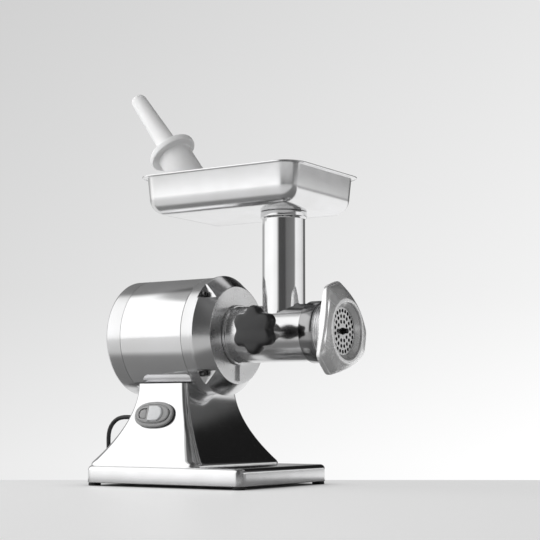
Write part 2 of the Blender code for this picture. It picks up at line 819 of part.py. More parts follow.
def make_gears():
    lay_z = AXIS_Z - CENTRE_DISTANCE
    tooth_down = -math.pi / 2
    gap_up = math.pi / 2 + math.pi / WHEEL_TEETH
    tooth_up = math.pi / 2
    gap_down = -math.pi / 2 + math.pi / WHEEL_TEETH
    lay = Vector((0.0, 0.0, lay_z))
    gear("motor_pinion", PINION_TEETH, 0.0045 + GAP, STAGE_ONE_Y, FACE_WIDTH_ONE, 0, AXIS_Z, tooth_down)
    gear("layshaft_gear", WHEEL_TEETH, SHAFT_RADIUS + GAP, STAGE_ONE_Y, FACE_WIDTH_ONE, 0, lay_z, gap_up)
    gear("layshaft_pinion", PINION_TEETH, 0.0045 + GAP, STAGE_TWO_Y, FACE_WIDTH_TWO, 0, lay_z, tooth_up)
    bore = OUTPUT_RADIUS - 0.003 + GAP
    gear("output_gear", WHEEL_TEETH, bore, STAGE_TWO_Y, FACE_WIDTH_TWO, 0, AXIS_Z, gap_down)
    profile = [
        (0, PLATE_PLANE_Y + 0.0070),
        (SHAFT_RADIUS, PLATE_PLANE_Y + 0.0070),
        (SHAFT_RADIUS, STAGE_ONE_Y - FACE_WIDTH_ONE / 2 - 0.001),
        (0.0045, STAGE_ONE_Y - FACE_WIDTH_ONE / 2 - 0.001),
        (0.0045, LAY_FRONT_Y),
        (0, LAY_FRONT_Y),
    ]
    about_axis("layshaft", profile, "zinc_steel", 20, lay)


ARM_HALF_X = 0.0515


def make_layshaft_arm():
    """A bridge across the front cover's inside that carries the layshaft's front end."""
    lay_z = AXIS_Z - CENTRE_DISTANCE
    front = BEARING_REAR_Y + 0.0014
    rear = LAY_FRONT_Y + 0.0030
    low = (-ARM_HALF_X, front, lay_z - 0.0090)
    high = (ARM_HALF_X, rear, lay_z + 0.0090)
    arm = box("layshaft_arm", low, high, "cast_aluminium")
    cut(arm, cylinder("arm_bore", 0.0045 + GAP, 0.03, None, across_y(LAY_FRONT_Y + 0.0145, 0, lay_z), COARSE))
    clearance = OUTPUT_RADIUS + 0.0020
    cut(arm, cylinder("arm_shaft_clearance", clearance, 0.03, None, across_y(LAY_FRONT_Y), MEDIUM))


def make_gearbox_plate():
    outer = DRUM_RADIUS - DRUM_WALL - GAP
    rear = PLATE_PLANE_Y + 0.0080
    plate = ring("gearbox_plate", outer, 0.0142, PLATE_PLANE_Y, rear, "cast_aluminium", MEDIUM)
    lay_z = AXIS_Z - CENTRE_DISTANCE
    behind = across_y(PLATE_PLANE_Y, 0, lay_z)
    cut(plate, cylinder("layshaft_bore", SHAFT_RADIUS + GAP, 0.03, None, behind, 20))
    lip = ring("bearing_lip", 0.0160, 0.0090, PLATE_PLANE_Y - 0.0015, PLATE_PLANE_Y, None, 24)
    cut(plate, lip, "UNION")


def make_output():
    front = -0.0012
    profile = [
        (0, STAGE_TWO_Y + FACE_WIDTH_TWO / 2),
        (OUTPUT_RADIUS - 0.003, STAGE_TWO_Y + FACE_WIDTH_TWO / 2),
        (OUTPUT_RADIUS - 0.003, STAGE_TWO_Y - FACE_WIDTH_TWO / 2 - 0.001),
        (OUTPUT_RADIUS, STAGE_TWO_Y - FACE_WIDTH_TWO / 2 - 0.001),
        (OUTPUT_RADIUS, front),
        (0, front),
    ]
    shaft = about_axis("output_shaft", profile, "zinc_steel", 24)
    half = SQUARE_TAIL / 2 + GAP
    cut(shaft, box("drive_socket", (-half, front - 0.01, AXIS_Z - half), (half, 0.0170, AXIS_Z + half)))
    bearing_ring("output_bearing", BEARING_OUTER, OUTPUT_RADIUS, BEARING_FRONT_Y, BEARING_REAR_Y)
    ring("oil_seal", 0.0197, OUTPUT_RADIUS + GAP, 0.0005, 0.0075, "black_rubber", 20)


# ---------------------------------------------------------------- neck sleeve and its lock
def make_sleeve():
    wall_y = -0.0015
    profile = [
        (SLEEVE_SPIGOT, BEARING_REAR_Y + 0.0010),
        (SLEEVE_SPIGOT, COVER_FACE_Y - GAP),
        (FLANGE_RADIUS, COVER_FACE_Y - GAP),
        (FLANGE_RADIUS, SLEEVE_FLANGE_Y),
        (SLEEVE_RADIUS, SLEEVE_FLANGE_Y),
        (SLEEVE_RADIUS, SLEEVE_FRONT_Y),
        (SLEEVE_BORE, SLEEVE_FRONT_Y),
        (SLEEVE_BORE, wall_y),
        (0.0200, wall_y),
        (0.0200, BEARING_FRONT_Y - GAP),
        (BEARING_OUTER + GAP, BEARING_FRONT_Y - GAP),
        (BEARING_OUTER + GAP, BEARING_REAR_Y + 0.0010),
    ]
    sleeve = about_axis("neck_sleeve", profile, "polished_steel", FINE)
    boss_centre = Matrix.Translation(((BOSS_FACE_X - 0.035) / 2, KNOB_Y, AXIS_Z)) @ ALONG_MINUS_X
    cut(sleeve, cylinder("boss", BOSS_RADIUS, -0.035 - BOSS_FACE_X, None, boss_centre, 20), "UNION")
    stud_line = Matrix.Translation((BOSS_FACE_X, KNOB_Y, AXIS_Z)) @ ALONG_MINUS_X
    cut(sleeve, cylinder("stud_hole", STUD_RADIUS + GAP, 0.080, None, stud_line, 12))
    half = TUBE_RADIUS + GAP
    around = Matrix.Translation((0, TUBE_Y, AXIS_Z + 0.030))
    cut(sleeve, cylinder("slot_end", half, 0.060, None, around, MEDIUM))
    cut(sleeve, box("slot_run", (-half, SLEEVE_FRONT_Y - 0.01, AXIS_Z), (half, TUBE_Y, AXIS_Z + 0.06)))


def lobed(radius, depth, lobes=6, points=48):
    """Outline of a star grip: a circle with round hollows between its lobes."""
    loop = []
    for i in range(points):
        angle = 2 * math.pi * i / points
        wave = (1 - math.cos(lobes * angle)) / 2
        reach = radius - depth * wave**1.3
        loop.append((reach * math.cos(angle), reach * math.sin(angle)))
    return loop


def make_lock():
    place = Matrix.Translation((KNOB_BACK_X, KNOB_Y, AXIS_Z)) @ ALONG_MINUS_X
    thick = KNOB_BACK_X - KNOB_FACE_X
    rings = []
    for height, shrink in ((0.0, 0.0015), (0.0020, 0.0), (thick - 0.0025, 0.0), (thick, 0.0035)):
        rings.append(lifted(lobed(KNOB_RADIUS - shrink, 0.0062), height))
    knob = loft("lock_knob", rings, "black_plastic", place)
    reach = BOSS_FACE_X - GAP - KNOB_BACK_X
    hub = place @ Matrix.Translation((0, 0, (0.002 - reach) / 2))
    cut(knob, cylinder("knob_hub", 0.0080, reach + 0.002, None, hub, 24), "UNION")
    bore = place @ Matrix.Translation((0, 0, -0.0060))
    cut(knob, cylinder("knob_bore", STUD_RADIUS + GAP, 0.0280, None, bore, 20))
    length = -0.0340 - (KNOB_BACK_X - 0.0070)
    middle = (-0.0340 + KNOB_BACK_X - 0.0070) / 2
    along = Matrix.Translation((middle, KNOB_Y, AXIS_Z)) @ ALONG_MINUS_X
    cylinder("lock_stud", STUD_RADIUS, length, "zinc_steel", along, 16)


# ---------------------------------------------------------------- grinding head
def make_barrel():
    profile = [
        (SHANK_RADIUS, BARREL_REAR_Y),
        (SHANK_RADIUS, SLEEVE_FRONT_Y - GAP),
        (FLANGE_RADIUS, SLEEVE_FRONT_Y - GAP),
        (FLANGE_RADIUS, BARREL_FLANGE_FRONT_Y + 0.0075),
        (FLANGE_RADIUS - 0.0007, BARREL_FLANGE_FRONT_Y + 0.0030),
        (FLANGE_RADIUS - 0.0022, BARREL_FLANGE_FRONT_Y),
        (THREAD_RADIUS, BARREL_FLANGE_FRONT_Y),
        (THREAD_RADIUS, BARREL_FRONT_Y),
        (PLATE_RADIUS + GAP, BARREL_FRONT_Y),
        (PLATE_RADIUS + GAP, PLATE_FRONT_Y + PLATE_THICKNESS + GAP),
        (BARREL_BORE, PLATE_FRONT_Y + PLATE_THICKNESS + GAP),
        (BARREL_BORE, BARREL_REAR_Y - 0.0100),
        (0.0131, BARREL_REAR_Y - 0.0100),
        (0.0131, BARREL_REAR_Y),
    ]
    barrel = about_axis("grinder_barrel", profile, "polished_steel", FINE)
    cut(barrel, slot_key(), "UNION")
    throat = Matrix.Translation((0, TUBE_Y, AXIS_Z + 0.030))
    cut(barrel, cylinder("throat_cutter", TUBE_BORE - 0.0003, 0.060, None, throat, MEDIUM))


def slot_key():
    """The raised pad on the barrel that fills the sleeve's slot in front of the feed tube."""
    half = TUBE_RADIUS
    pad = ring("slot_key", SLEEVE_RADIUS, SHANK_RADIUS - 0.001, SLEEVE_FRONT_Y - 0.001, TUBE_Y, None, FINE)
    cut(pad, box("key_width", (-half, -0.2, AXIS_Z + 0.010), (half, 0.0, AXIS_Z + 0.050)), "INTERSECT")
    around = Matrix.Translation((0, TUBE_Y, AXIS_Z + 0.030))
    cut(pad, cylinder("tube_clearance", TUBE_RADIUS + GAP, 0.060, None, around, MEDIUM))
    return pad


def make_feed_tube():
    bottom = AXIS_Z + 0.010
    profile = [
        (TUBE_LIP_RADIUS - 0.0008, TUBE_TOP),
        (TUBE_LIP_RADIUS, TUBE_TOP - 0.0010),
        (TUBE_LIP_RADIUS, TUBE_TOP - 0.0070),
        (TUBE_RADIUS, TUBE_TOP - 0.0090),
        (TUBE_RADIUS, bottom),
        (TUBE_BORE, bottom),
        (TUBE_BORE, TUBE_TOP),
    ]
    tube = turned("feed_tube", profile, "polished_steel", Matrix.Translation((0, TUBE_Y, 0)), MEDIUM)
    cut(tube, cylinder("saddle_end_cutter", SHANK_RADIUS + GAP, 0.12, None, across_y(TUBE_Y), FINE))


AUGER_POINTS = 12


def make_auger():
    """The screw: a twisted loft of a round core with one blade, then its rear journal and square drive
    tail."""
    front = -0.1460
    rear = BARREL_REAR_Y - 0.0110
    pitch = 0.0400
    core = 0.0110
    blade_tip = BARREL_BORE - 0.0010
    count = 26
    section = []
    for i in range(AUGER_POINTS):
        angle = 2 * math.pi * i / AUGER_POINTS
        blade = max(0.0, math.cos(angle / 2)) ** 10
        section.append((angle, core + (blade_tip - core) * min(1.0, 1.35 * blade)))
    rings = []
    for step in range(count + 1):
        along = (rear - front) * step / count
        turn = 2 * math.pi * along / pitch
        rings.append([(r * math.cos(a + turn), r * math.sin(a + turn), along) for a, r in section])
    auger = loft("auger", rings, "polished_steel", across_y(front) @ Matrix.Rotation(math.pi, 4, "X"))
    journal = rod("auger_journal", 0.0127, rear - 0.0030, BARREL_REAR_Y - GAP, None)
    half = SQUARE_TAIL / 2
    tail = box("auger_tail", (-half, BARREL_REAR_Y - 0.004, AXIS_Z - half), (half, 0.0160, AXIS_Z + half))
    nose = rod("auger_nose", 0.0044, -0.1645, front + 0.004, None, 16)
    tip = rod("auger_tip", 0.0034, -0.1700, front, None, 12)
    square = KNIFE_SQUARE / 2 - GAP
    lowest = (-square, KNIFE_FRONT_Y, AXIS_Z - square)
    highest = (square, front + 0.004, AXIS_Z + square)
    seat = box("knife_seat", lowest, highest)
    for piece in (journal, tail, nose, tip, seat):
        cut(auger, piece, "UNION")


KNIFE_SQUARE = 0.0100
KNIFE_FRONT_Y = PLATE_FRONT_Y + PLATE_THICKNESS + GAP
KNIFE_THICKNESS = 0.0070


def make_knife():
    """Four blades, each with a straight cutting side and a slanted back."""
    loop = []
    for number in range(4):
        turn = math.pi / 2 * number
        for radius, angle in ((0.0095, -0.55), (0.0280, -0.02), (0.0280, 0.24), (0.0110, 0.60)):
            loop.append((radius * math.cos(turn + angle), radius * math.sin(turn + angle)))
    half = KNIFE_SQUARE / 2
    hole = [(-half, -half), (-half, half), (half, half), (half, -half)]
    middle = across_y(KNIFE_FRONT_Y + KNIFE_THICKNESS / 2)
    outline("cutting_knife", [loop, hole], KNIFE_THICKNESS, "brushed_steel", middle)
    ring("thrust_washer", 0.0125, 0.0075, -0.1476 - 0.0006 + 0.0009, -0.1463, "brushed_steel", 20)


def plate_holes():
    """Centres of the plate's holes: rings about the middle pin, seven millimetres apart."""
    places = []
    for radius, count in ((0.0125, 10), (0.0195, 16), (0.0265, 24)):
        for number in range(count):
            angle = 2 * math.pi * (number + 0.5 * (count == 16)) / count
            places.append((radius * math.cos(angle), radius * math.sin(angle)))
    return places


def make_plate():
    loops = [circle(PLATE_RADIUS, 48), circle(0.0048, 16)[::-1]]
    loops += [circle(PLATE_HOLE_RADIUS, 6, place)[::-1] for place in plate_holes()]
    plane = across_y(PLATE_FRONT_Y + PLATE_THICKNESS / 2)
    outline("perforated_plate", loops, PLATE_THICKNESS, "brushed_steel", plane)


def nut_outline(turn):
    """Distance of the nut's outline from its axis: three wide ears cut off straight, with bulges between."""
    half_step = math.pi / NUT_EARS
    from_ear = abs((turn - NUT_TURN + half_step) % (2 * half_step) - half_step)
    corner_turn = math.atan2(NUT_EAR_HALF_WIDTH, NUT_EAR_REACH)
    corner = math.hypot(NUT_EAR_HALF_WIDTH, NUT_EAR_REACH)
    bulge = math.acos(NUT_SIDE_RADIUS / corner) / (half_step - corner_turn)
    side = NUT_SIDE_RADIUS / math.cos(bulge * (half_step - from_ear))
    end = NUT_EAR_REACH / math.cos(from_ear)
    sharpness = 30
    return (side**-sharpness + end**-sharpness) ** (-1 / sharpness)


def nut_section(turn):
    """Radius and y round the nut's section in one direction, from its opening over the ear to the thread."""
    edge = nut_outline(turn)
    reach = max(0.0, (edge - NUT_SIDE_RADIUS) / (NUT_EAR_REACH - NUT_SIDE_RADIUS))
    face_y = -0.1656 + 0.0042 * reach
    middle = (NUT_RIM_RADIUS + edge) / 2
    return [
        (NUT_OPENING_RADIUS, NUT_FRONT_Y + 0.0012),
        (NUT_OPENING_RADIUS + 0.0016, NUT_FRONT_Y),
        (NUT_RIM_RADIUS - 0.0010, NUT_FRONT_Y + 0.0002),
        (NUT_RIM_RADIUS, NUT_FRONT_Y + 0.0010),
        (middle, NUT_FRONT_Y + 0.0030 + 0.0026 * reach),
        (edge - 0.0012, face_y),
        (edge, face_y + 0.0012),
        (edge, NUT_REAR_Y - 0.0016),
        (edge - 0.0012, NUT_REAR_Y),
        (THREAD_RADIUS + GAP, NUT_REAR_Y),
        (THREAD_RADIUS + GAP, PLATE_FRONT_Y - GAP),
        (0.0308, PLATE_FRONT_Y - GAP),
    ]


def make_nut(points=60):
    turns = [2 * math.pi * i / points for i in range(points)]
    sections = [nut_section(turn) for turn in turns]
    rings = []
    for k in range(len(sections[0])):
        ring_points = []
        for turn, section in zip(turns, sections):
            radius, y = section[k]
            ring_points.append((radius * math.cos(turn), y, AXIS_Z + radius * math.sin(turn)))
        rings.append(ring_points)
    loft("ring_nut", rings, "polished_steel", closed=True)


# ---------------------------------------------------------------- pan and pusher
SPIGOT_RADIUS = 0.0258
SPIGOT_BOTTOM = 0.3350


def make_tray():
    """A pressed pan. Each profile point is (inset from the rim's outer edge, height)."""
    sheet = TRAY_SHEET
    steps = 4
    under = TRAY_RIM_TOP - sheet

    def floor_round(inset, radius, height):
        turns = [math.pi / 2 * step / (steps - 1) for step in range(steps)]
        return [(inset + radius * (1 - math.sin(a)), height + radius * (1 - math.cos(a))) for a in turns]

    outer_foot = TRAY_LIP + TRAY_DRAFT
    profile = floor_round(outer_foot, TRAY_FLOOR_ROUND, TRAY_BOTTOM_Z)
    profile += [
        (TRAY_LIP, under - 0.0010),
        (TRAY_LIP - 0.0010, under),
        (sheet, under),
        (sheet, TRAY_RIM_TOP - TRAY_RIM_DROP),
        (0.0, TRAY_RIM_TOP - TRAY_RIM_DROP),
        (0.0, TRAY_RIM_TOP - 0.0010),
        (0.0010, TRAY_RIM_TOP),
        (TRAY_LIP, TRAY_RIM_TOP),
        (TRAY_LIP + sheet, TRAY_RIM_TOP - 0.0020),
    ]
    profile += floor_round(outer_foot + sheet, TRAY_FLOOR_ROUND - sheet, TRAY_BOTTOM_Z + sheet)[::-1]
    rings = [
        rounded_rectangle(TRAY_HALF_X - d, TRAY_FRONT + d, TRAY_REAR - d, max(0.004, TRAY_CORNER - d), z, 6)
        for d, z in profile
    ]
    tray = loft("tray", rings, "brushed_steel")
    hole = Matrix.Translation((0, TUBE_Y, TRAY_BOTTOM_Z))
    cut(tray, cylinder("tray_hole", SPIGOT_RADIUS + GAP, 0.020, None, hole, MEDIUM))
    spigot = [
        (SPIGOT_RADIUS, TRAY_BOTTOM_Z + TRAY_SHEET),
        (SPIGOT_RADIUS, SPIGOT_BOTTOM),
        (SPIGOT_RADIUS - TRAY_SHEET, SPIGOT_BOTTOM),
        (SPIGOT_RADIUS - TRAY_SHEET, TRAY_BOTTOM_Z + TRAY_SHEET),
    ]
    turned("tray_spigot", spigot, "brushed_steel", Matrix.Translation((0, TUBE_Y, 0)), MEDIUM)


def pusher_matrix():
    """Local +Z runs up the pusher's handle, from the flange."""
    return Matrix.Translation(PUSHER_FLANGE) @ Matrix.Rotation(-PUSHER_LEAN, 4, "X")


def make_pusher():
    profile = [
        (0, 0.1070),
        (0.0070, 0.1062),
        (0.0104, 0.1030),
        (0.0110, 0.0990),
        (0.0145, 0.0050),
        (0.0320, 0.0050),
        (0.0335, 0.0035),
        (0.0335, -0.0035),
        (0.0320, -0.0050),
        (0.0240, -0.0050),
        (0.0235, 0.0030 - PUSHER_BODY_LENGTH),
        (0.0210, -PUSHER_BODY_LENGTH),
        (0, -PUSHER_BODY_LENGTH),
    ]
    turned("pusher", profile, "white_plastic", pusher_matrix(), 24)


# ---------------------------------------------------------------- cord's coil and plug
def make_coil():
    wide = COIL_HALF_WIDTH
    edge = 0.0030
    low = GAP
    high = GAP + COIL_HEIGHT
    profile = [
        (COIL_RADIUS + wide - edge, high),
        (COIL_RADIUS + wide, high - edge),
        (COIL_RADIUS + wide, low + edge),
        (COIL_RADIUS + wide - edge, low),
        (COIL_RADIUS - wide + edge, low),
        (COIL_RADIUS - wide, low + edge),
        (COIL_RADIUS - wide, high - edge),
        (COIL_RADIUS - wide + edge, high),
    ]
    turned("cord_coil", profile, "cord_jacket", Matrix.Translation(COIL_CENTRE), 24)


def make_plug():
    """A round moulded plug lying on its side, its strain relief at the coil and its pins towards +X."""
    place = Matrix.Translation(PLUG_NOSE) @ Matrix.Rotation(math.radians(90), 4, "Y")
    face = 0.0540
    profile = [
        (0, face),
        (PLUG_RADIUS - 0.0015, face),
        (PLUG_RADIUS, face - 0.0015),
        (PLUG_RADIUS, 0.0290),
        (0.0130, 0.0230),
        (0.0060, 0.0180),
        (0.0045, 0.0),
        (0, 0.0),
    ]
    plug = turned("mains_plug", profile, "cord_jacket", place, 20)
    for number, side in enumerate((-1, 1), 1):
        middle = place @ Matrix.Translation((0, side * PLUG_PIN_SPREAD, face + 0.0070))
        cut(plug, cylinder(f"pin_socket_{number}", PLUG_PIN_RADIUS + GAP, 0.0240, None, middle, 10))
        pin = place @ Matrix.Translation((0, side * PLUG_PIN_SPREAD, face + 0.0075))
        cylinder(f"plug_pin_{number}", PLUG_PIN_RADIUS, 0.0230, "zinc_steel", pin, 10)


def main():
    clear_scene()
    make_base()
    make_switch()
    make_electrics()
    make_cord()
    make_coil()
    make_plug()
    make_motor()
    make_output()
    make_sleeve()
    make_lock()
    make_barrel()
    make_feed_tube()
    make_auger()
    make_knife()
    make_plate()
    make_nut()
    make_tray()
    make_pusher()


main()
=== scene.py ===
"""Looks of the electric meat grinder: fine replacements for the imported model's outside, and every material.

Metres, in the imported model's frame: +Z up, the outlet towards -Y, the switch and the locking knob towards -X.
"""

import math

import bmesh
import bpy
from mathutils import Matrix, Vector


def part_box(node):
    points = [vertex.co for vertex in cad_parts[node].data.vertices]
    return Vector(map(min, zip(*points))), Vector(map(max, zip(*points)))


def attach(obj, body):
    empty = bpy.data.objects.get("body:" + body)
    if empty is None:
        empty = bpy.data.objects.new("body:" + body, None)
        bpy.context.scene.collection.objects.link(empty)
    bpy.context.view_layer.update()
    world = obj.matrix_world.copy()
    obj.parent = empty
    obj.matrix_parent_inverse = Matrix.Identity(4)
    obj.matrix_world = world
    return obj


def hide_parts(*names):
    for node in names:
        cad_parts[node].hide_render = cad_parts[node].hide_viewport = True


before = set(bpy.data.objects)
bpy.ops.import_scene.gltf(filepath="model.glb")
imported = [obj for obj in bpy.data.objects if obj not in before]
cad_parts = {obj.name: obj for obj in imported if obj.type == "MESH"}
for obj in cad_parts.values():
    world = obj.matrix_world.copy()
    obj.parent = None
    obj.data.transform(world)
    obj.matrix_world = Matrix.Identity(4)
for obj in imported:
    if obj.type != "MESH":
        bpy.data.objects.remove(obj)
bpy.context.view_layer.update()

# ---------------------------------------------------------------- places and sizes, from the frame
ROUND = 144  # facets round a large piece
SMALL_ROUND = 64
GAP = 0.0003  # clearance between touching pieces


def low(node):
    return Vector(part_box(node)[0])


def high(node):
    return Vector(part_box(node)[1])


def middle(node):
    return (low(node) + high(node)) / 2


def half_width(node):
    return (high(node).x - low(node).x) / 2


def half_width_z(node):
    return (high(node).z - low(node).z) / 2


AXIS = Vector((0.0, 0.0, middle("motor_tube").z))
DRUM_RADIUS = half_width("motor_tube")
ALONG_Y = Matrix.Rotation(math.radians(-90), 4, "X")  # local +Z to world +Y
ALONG_MINUS_X = Matrix.Rotation(math.radians(-90), 4, "Y")  # local +Z to world -X
ON_AXIS = Matrix.Translation(AXIS) @ ALONG_Y

# ---------------------------------------------------------------- camera
CAMERA_PLACE = (-1.5572, -1.0486, 0.0884)
CAMERA_AZIMUTH = math.radians(-57.3735)
CAMERA_PITCH = math.radians(6.1177)


def make_camera():
    data = bpy.data.cameras.new("camera")
    data.lens = 92.718
    data.sensor_width = 36.0
    camera = bpy.data.objects.new("camera", data)
    camera.location = CAMERA_PLACE
    camera.rotation_euler = (math.pi / 2 + CAMERA_PITCH, 0.0, CAMERA_AZIMUTH)
    bpy.context.scene.collection.objects.link(camera)
    bpy.context.scene.camera = camera


# ---------------------------------------------------------------- node helpers
def new_material(name, colour, metallic, roughness):
    material = bpy.data.materials.new(name)
    material.use_nodes = True
    shader = material.node_tree.nodes["Principled BSDF"]
    shader.inputs["Base Color"].default_value = (*colour, 1.0)
    shader.inputs["Metallic"].default_value = metallic
    shader.inputs["Roughness"].default_value = roughness
    return material


def shader_of(material):
    return material.node_tree.nodes["Principled BSDF"]


def noise(material, scale, detail=3.0, stretch=(1.0, 1.0, 1.0)):
    """A noise in metres of the frame, stretched along the axes with small factors."""
    tree = material.node_tree
    place = tree.nodes.new("ShaderNodeTexCoord")
    mapping = tree.nodes.new("ShaderNodeMapping")
    mapping.inputs["Scale"].default_value = stretch
    texture = tree.nodes.new("ShaderNodeTexNoise")
    texture.inputs["Scale"].default_value = scale
    texture.inputs["Detail"].default_value = detail
    tree.links.new(place.outputs["Object"], mapping.inputs["Vector"])
    tree.links.new(mapping.outputs["Vector"], texture.inputs["Vector"])
    return texture.outputs["Fac"]


def spread(material, factor, least, most):
    """Maps a noise's middle range to least..most."""
    tree = material.node_tree
    node = tree.nodes.new("ShaderNodeMapRange")
    node.inputs["From Min"].default_value = 0.3
    node.inputs["From Max"].default_value = 0.7
    node.inputs["To Min"].default_value = least
    node.inputs["To Max"].default_value = most
    tree.links.new(factor, node.inputs["Value"])
    return node.outputs["Result"]


def vary_roughness(material, factor, least, most):
    level = spread(material, factor, least, most)
    material.node_tree.links.new(level, shader_of(material).inputs["Roughness"])


def vary_colour(material, factor, dark, light):
    tree = material.node_tree
    mix = tree.nodes.new("ShaderNodeMix")
    mix.data_type = "RGBA"
    mix.inputs["A"].default_value = (*dark, 1.0)
    mix.inputs["B"].default_value = (*light, 1.0)
    tree.links.new(spread(material, factor, 0.0, 1.0), mix.inputs["Factor"])
    tree.links.new(mix.outputs["Result"], shader_of(material).inputs["Base Color"])


def add_bump(material, factor, depth):
    tree = material.node_tree
    shader = shader_of(material)
    bump = tree.nodes.new("ShaderNodeBump")
    bump.inputs["Strength"].default_value = 1.0
    bump.inputs["Distance"].default_value = depth
    tree.links.new(factor, bump.inputs["Height"])
    if shader.inputs["Normal"].is_linked:
        tree.links.new(shader.inputs["Normal"].links[0].from_socket, bump.inputs["Normal"])
    tree.links.new(bump.outputs["Normal"], shader.inputs["Normal"])


# ---------------------------------------------------------------- materials
def mirror_steel(name, grey=0.70, roughness=0.10, wave=0.00002):
    """Polished steel or aluminium with the slow waviness that buffing leaves."""
    material = new_material(name, (grey, grey, grey * 1.01), 1.0, roughness)
    vary_roughness(material, noise(material, 60.0), roughness * 0.93, roughness * 1.1)
    tone = noise(material, 18.0, 2.0)
    vary_colour(material, tone, (grey * 0.95,) * 3, (grey * 1.03, grey * 1.03, grey * 1.04))
    add_bump(material, noise(material, 30.0, 1.0), wave)
    add_bump(material, noise(material, 2200.0, 2.0), 0.0000008)
    return material


def brushed_steel(name, stretch, grey=0.66, roughness=0.26):
    """Steel with a fine grain, drawn out along the axis with the small stretch factor."""
    material = new_material(name, (grey, grey, grey * 1.01), 1.0, roughness)
    grain = noise(material, 1500.0, 4.0, stretch)
    vary_roughness(material, grain, roughness * 0.75, roughness * 1.3)
    vary_colour(material, noise(material, 500.0, 3.0, stretch), (grey * 0.93,) * 3, (grey * 1.05,) * 3)
    add_bump(material, grain, 0.000003)
    return material


def satin_casting(name, grey=0.78, roughness=0.30, metal=1.0):
    """Blasted and lightly polished cast aluminium."""
    material = new_material(name, (grey, grey, grey * 1.01), metal, roughness)
    vary_roughness(material, noise(material, 40.0, 4.0), roughness * 0.85, roughness * 1.2)
    vary_colour(material, noise(material, 90.0, 4.0), (grey * 0.96,) * 3, (grey * 1.03,) * 3)
    add_bump(material, noise(material, 2600.0, 3.0), 0.000006)
    return material


def plastic(name, colour, roughness, grain=0.00001):
    material = new_material(name, colour, 0.0, roughness)
    vary_roughness(material, noise(material, 120.0, 3.0), roughness * 0.85, roughness * 1.2)
    dark = tuple(channel * 0.94 for channel in colour)
    vary_colour(material, noise(material, 35.0, 3.0), dark, colour)
    add_bump(material, noise(material, 1800.0, 2.0), grain)
    return material


STEEL_DRUM = mirror_steel("drum_steel", 0.78, 0.12, 0.000002)
STEEL_COVER = mirror_steel("cover_steel", 0.70, 0.20, 0.000004)
STEEL_DISC = mirror_steel("disc_steel", 0.74, 0.26, 0.000003)
STEEL_TUBE = mirror_steel("tube_steel", 0.72, 0.09)
STEEL_NUT = satin_casting("nut_steel", 0.93, 0.27, 0.62)
STEEL_COLLAR = mirror_steel("collar_steel", 0.36, 0.16, 0.000006)
STEEL_PAN = mirror_steel("pan_steel", 0.80, 0.20, 0.000006)
STEEL_PLATE = brushed_steel("plate_steel", (1.0, 1.0, 1.0), 0.72, 0.25)
STEEL_MACHINED = brushed_steel("machined_steel", (1.0, 0.05, 1.0), 0.55, 0.30)
# Near-black steel for painted shade: the plate's hole walls and the parts seen only through its holes.
STEEL_SHADE = brushed_steel("painted_shade_steel", (1.0, 0.05, 1.0), 0.03, 0.50)
STEEL_DARK = brushed_steel("dark_steel", (1.0, 0.05, 1.0), 0.18, 0.40)
CASTING = mirror_steel("base_casting_finish", 0.80, 0.13, 0.000004)
CASTING_INSIDE = satin_casting("raw_casting", 0.55, 0.45)
COPPER = brushed_steel("copper_wire", (1.0, 1.0, 0.1), 0.5, 0.35)
BLACK = plastic("black_grip", (0.018, 0.018, 0.019), 0.34)
GREY = plastic("grey_bezel", (0.33, 0.33, 0.33), 0.26)
LIGHT = plastic("light_cap", (0.72, 0.73, 0.74), 0.28)
WHITE = plastic("white_pusher", (0.92, 0.92, 0.92), 0.34)
RUBBER = plastic("foot_rubber", (0.02, 0.02, 0.02), 0.62, 0.00004)
JACKET = plastic("cord_jacket", (0.016, 0.016, 0.017), 0.42)


# ---------------------------------------------------------------- mesh helpers
def softened(profile, radius, steps=5, closed=True):
    """Rounds the corners of a polyline, each as far as half its sides allow."""
    points = [Vector(point) for point in profile]
    count = len(points)
    result = []
    for i, here in enumerate(points):
        before = points[i - 1] - here
        after = points[(i + 1) % count] - here
        ends = not closed and i in (0, count - 1)
        if ends or math.degrees(before.angle(after)) > 172:
            result.append(here)
            continue
        start = here + before.normalized() * min(radius, 0.45 * before.length)
        stop = here + after.normalized() * min(radius, 0.45 * after.length)
        for step in range(steps + 1):
            t = step / steps
            result.append(start * (1 - t) ** 2 + here * (2 * t * (1 - t)) + stop * t**2)
    return [tuple(point) for point in result]


def finish_mesh(name, bm, sharp=38):
    bmesh.ops.remove_doubles(bm, verts=bm.verts, dist=0.000002)
    bmesh.ops.recalc_face_normals(bm, faces=bm.faces)
    mesh = bpy.data.meshes.new(name)
    bm.to_mesh(mesh)
    bm.free()
    mesh.shade_smooth()
    mesh.set_sharp_from_angle(angle=math.radians(sharp))
    return mesh


def add_rows(bm, rows, place=Matrix.Identity(4), closed=False, caps=True):
    """Skins rows of equally many points, each row a closed loop."""
    loops = [[bm.verts.new(place @ Vector(point)) for point in row] for row in rows]
    pairs = list(zip(loops, loops[1:]))
    if closed:
        pairs.append((loops[-1], loops[0]))
    for lower, upper in pairs:
        for i in range(len(lower)):
            j = (i + 1) % len(lower)
            bm.faces.new((lower[i], lower[j], upper[j], upper[i]))
    if caps and not closed:
        bm.faces.new(loops[0][::-1])
        bm.faces.new(loops[-1])


def circle_row(radius, height, segments):
    turn = [2 * math.pi * i / segments for i in range(segments)]
    return [(radius * math.cos(a), radius * math.sin(a), height) for a in turn]


def add_turned(bm, profile, place, closed=False, segments=ROUND):
    """Turns a profile of (radius, height) about local Z. Open profiles start and end on the axis."""
    rows = [circle_row(radius, height, segments) for radius, height in profile]
    add_rows(bm, rows, place, closed, caps=False)


def turned_mesh(name, profile, place, closed=False, segments=ROUND):
    bm = bmesh.new()
    add_turned(bm, profile, place, closed, segments)
    return finish_mesh(name, bm)


def rows_mesh(name, rows, place=Matrix.Identity(4), closed=False, sharp=38):
    bm = bmesh.new()
    add_rows(bm, rows, place, closed)
    return finish_mesh(name, bm, sharp)


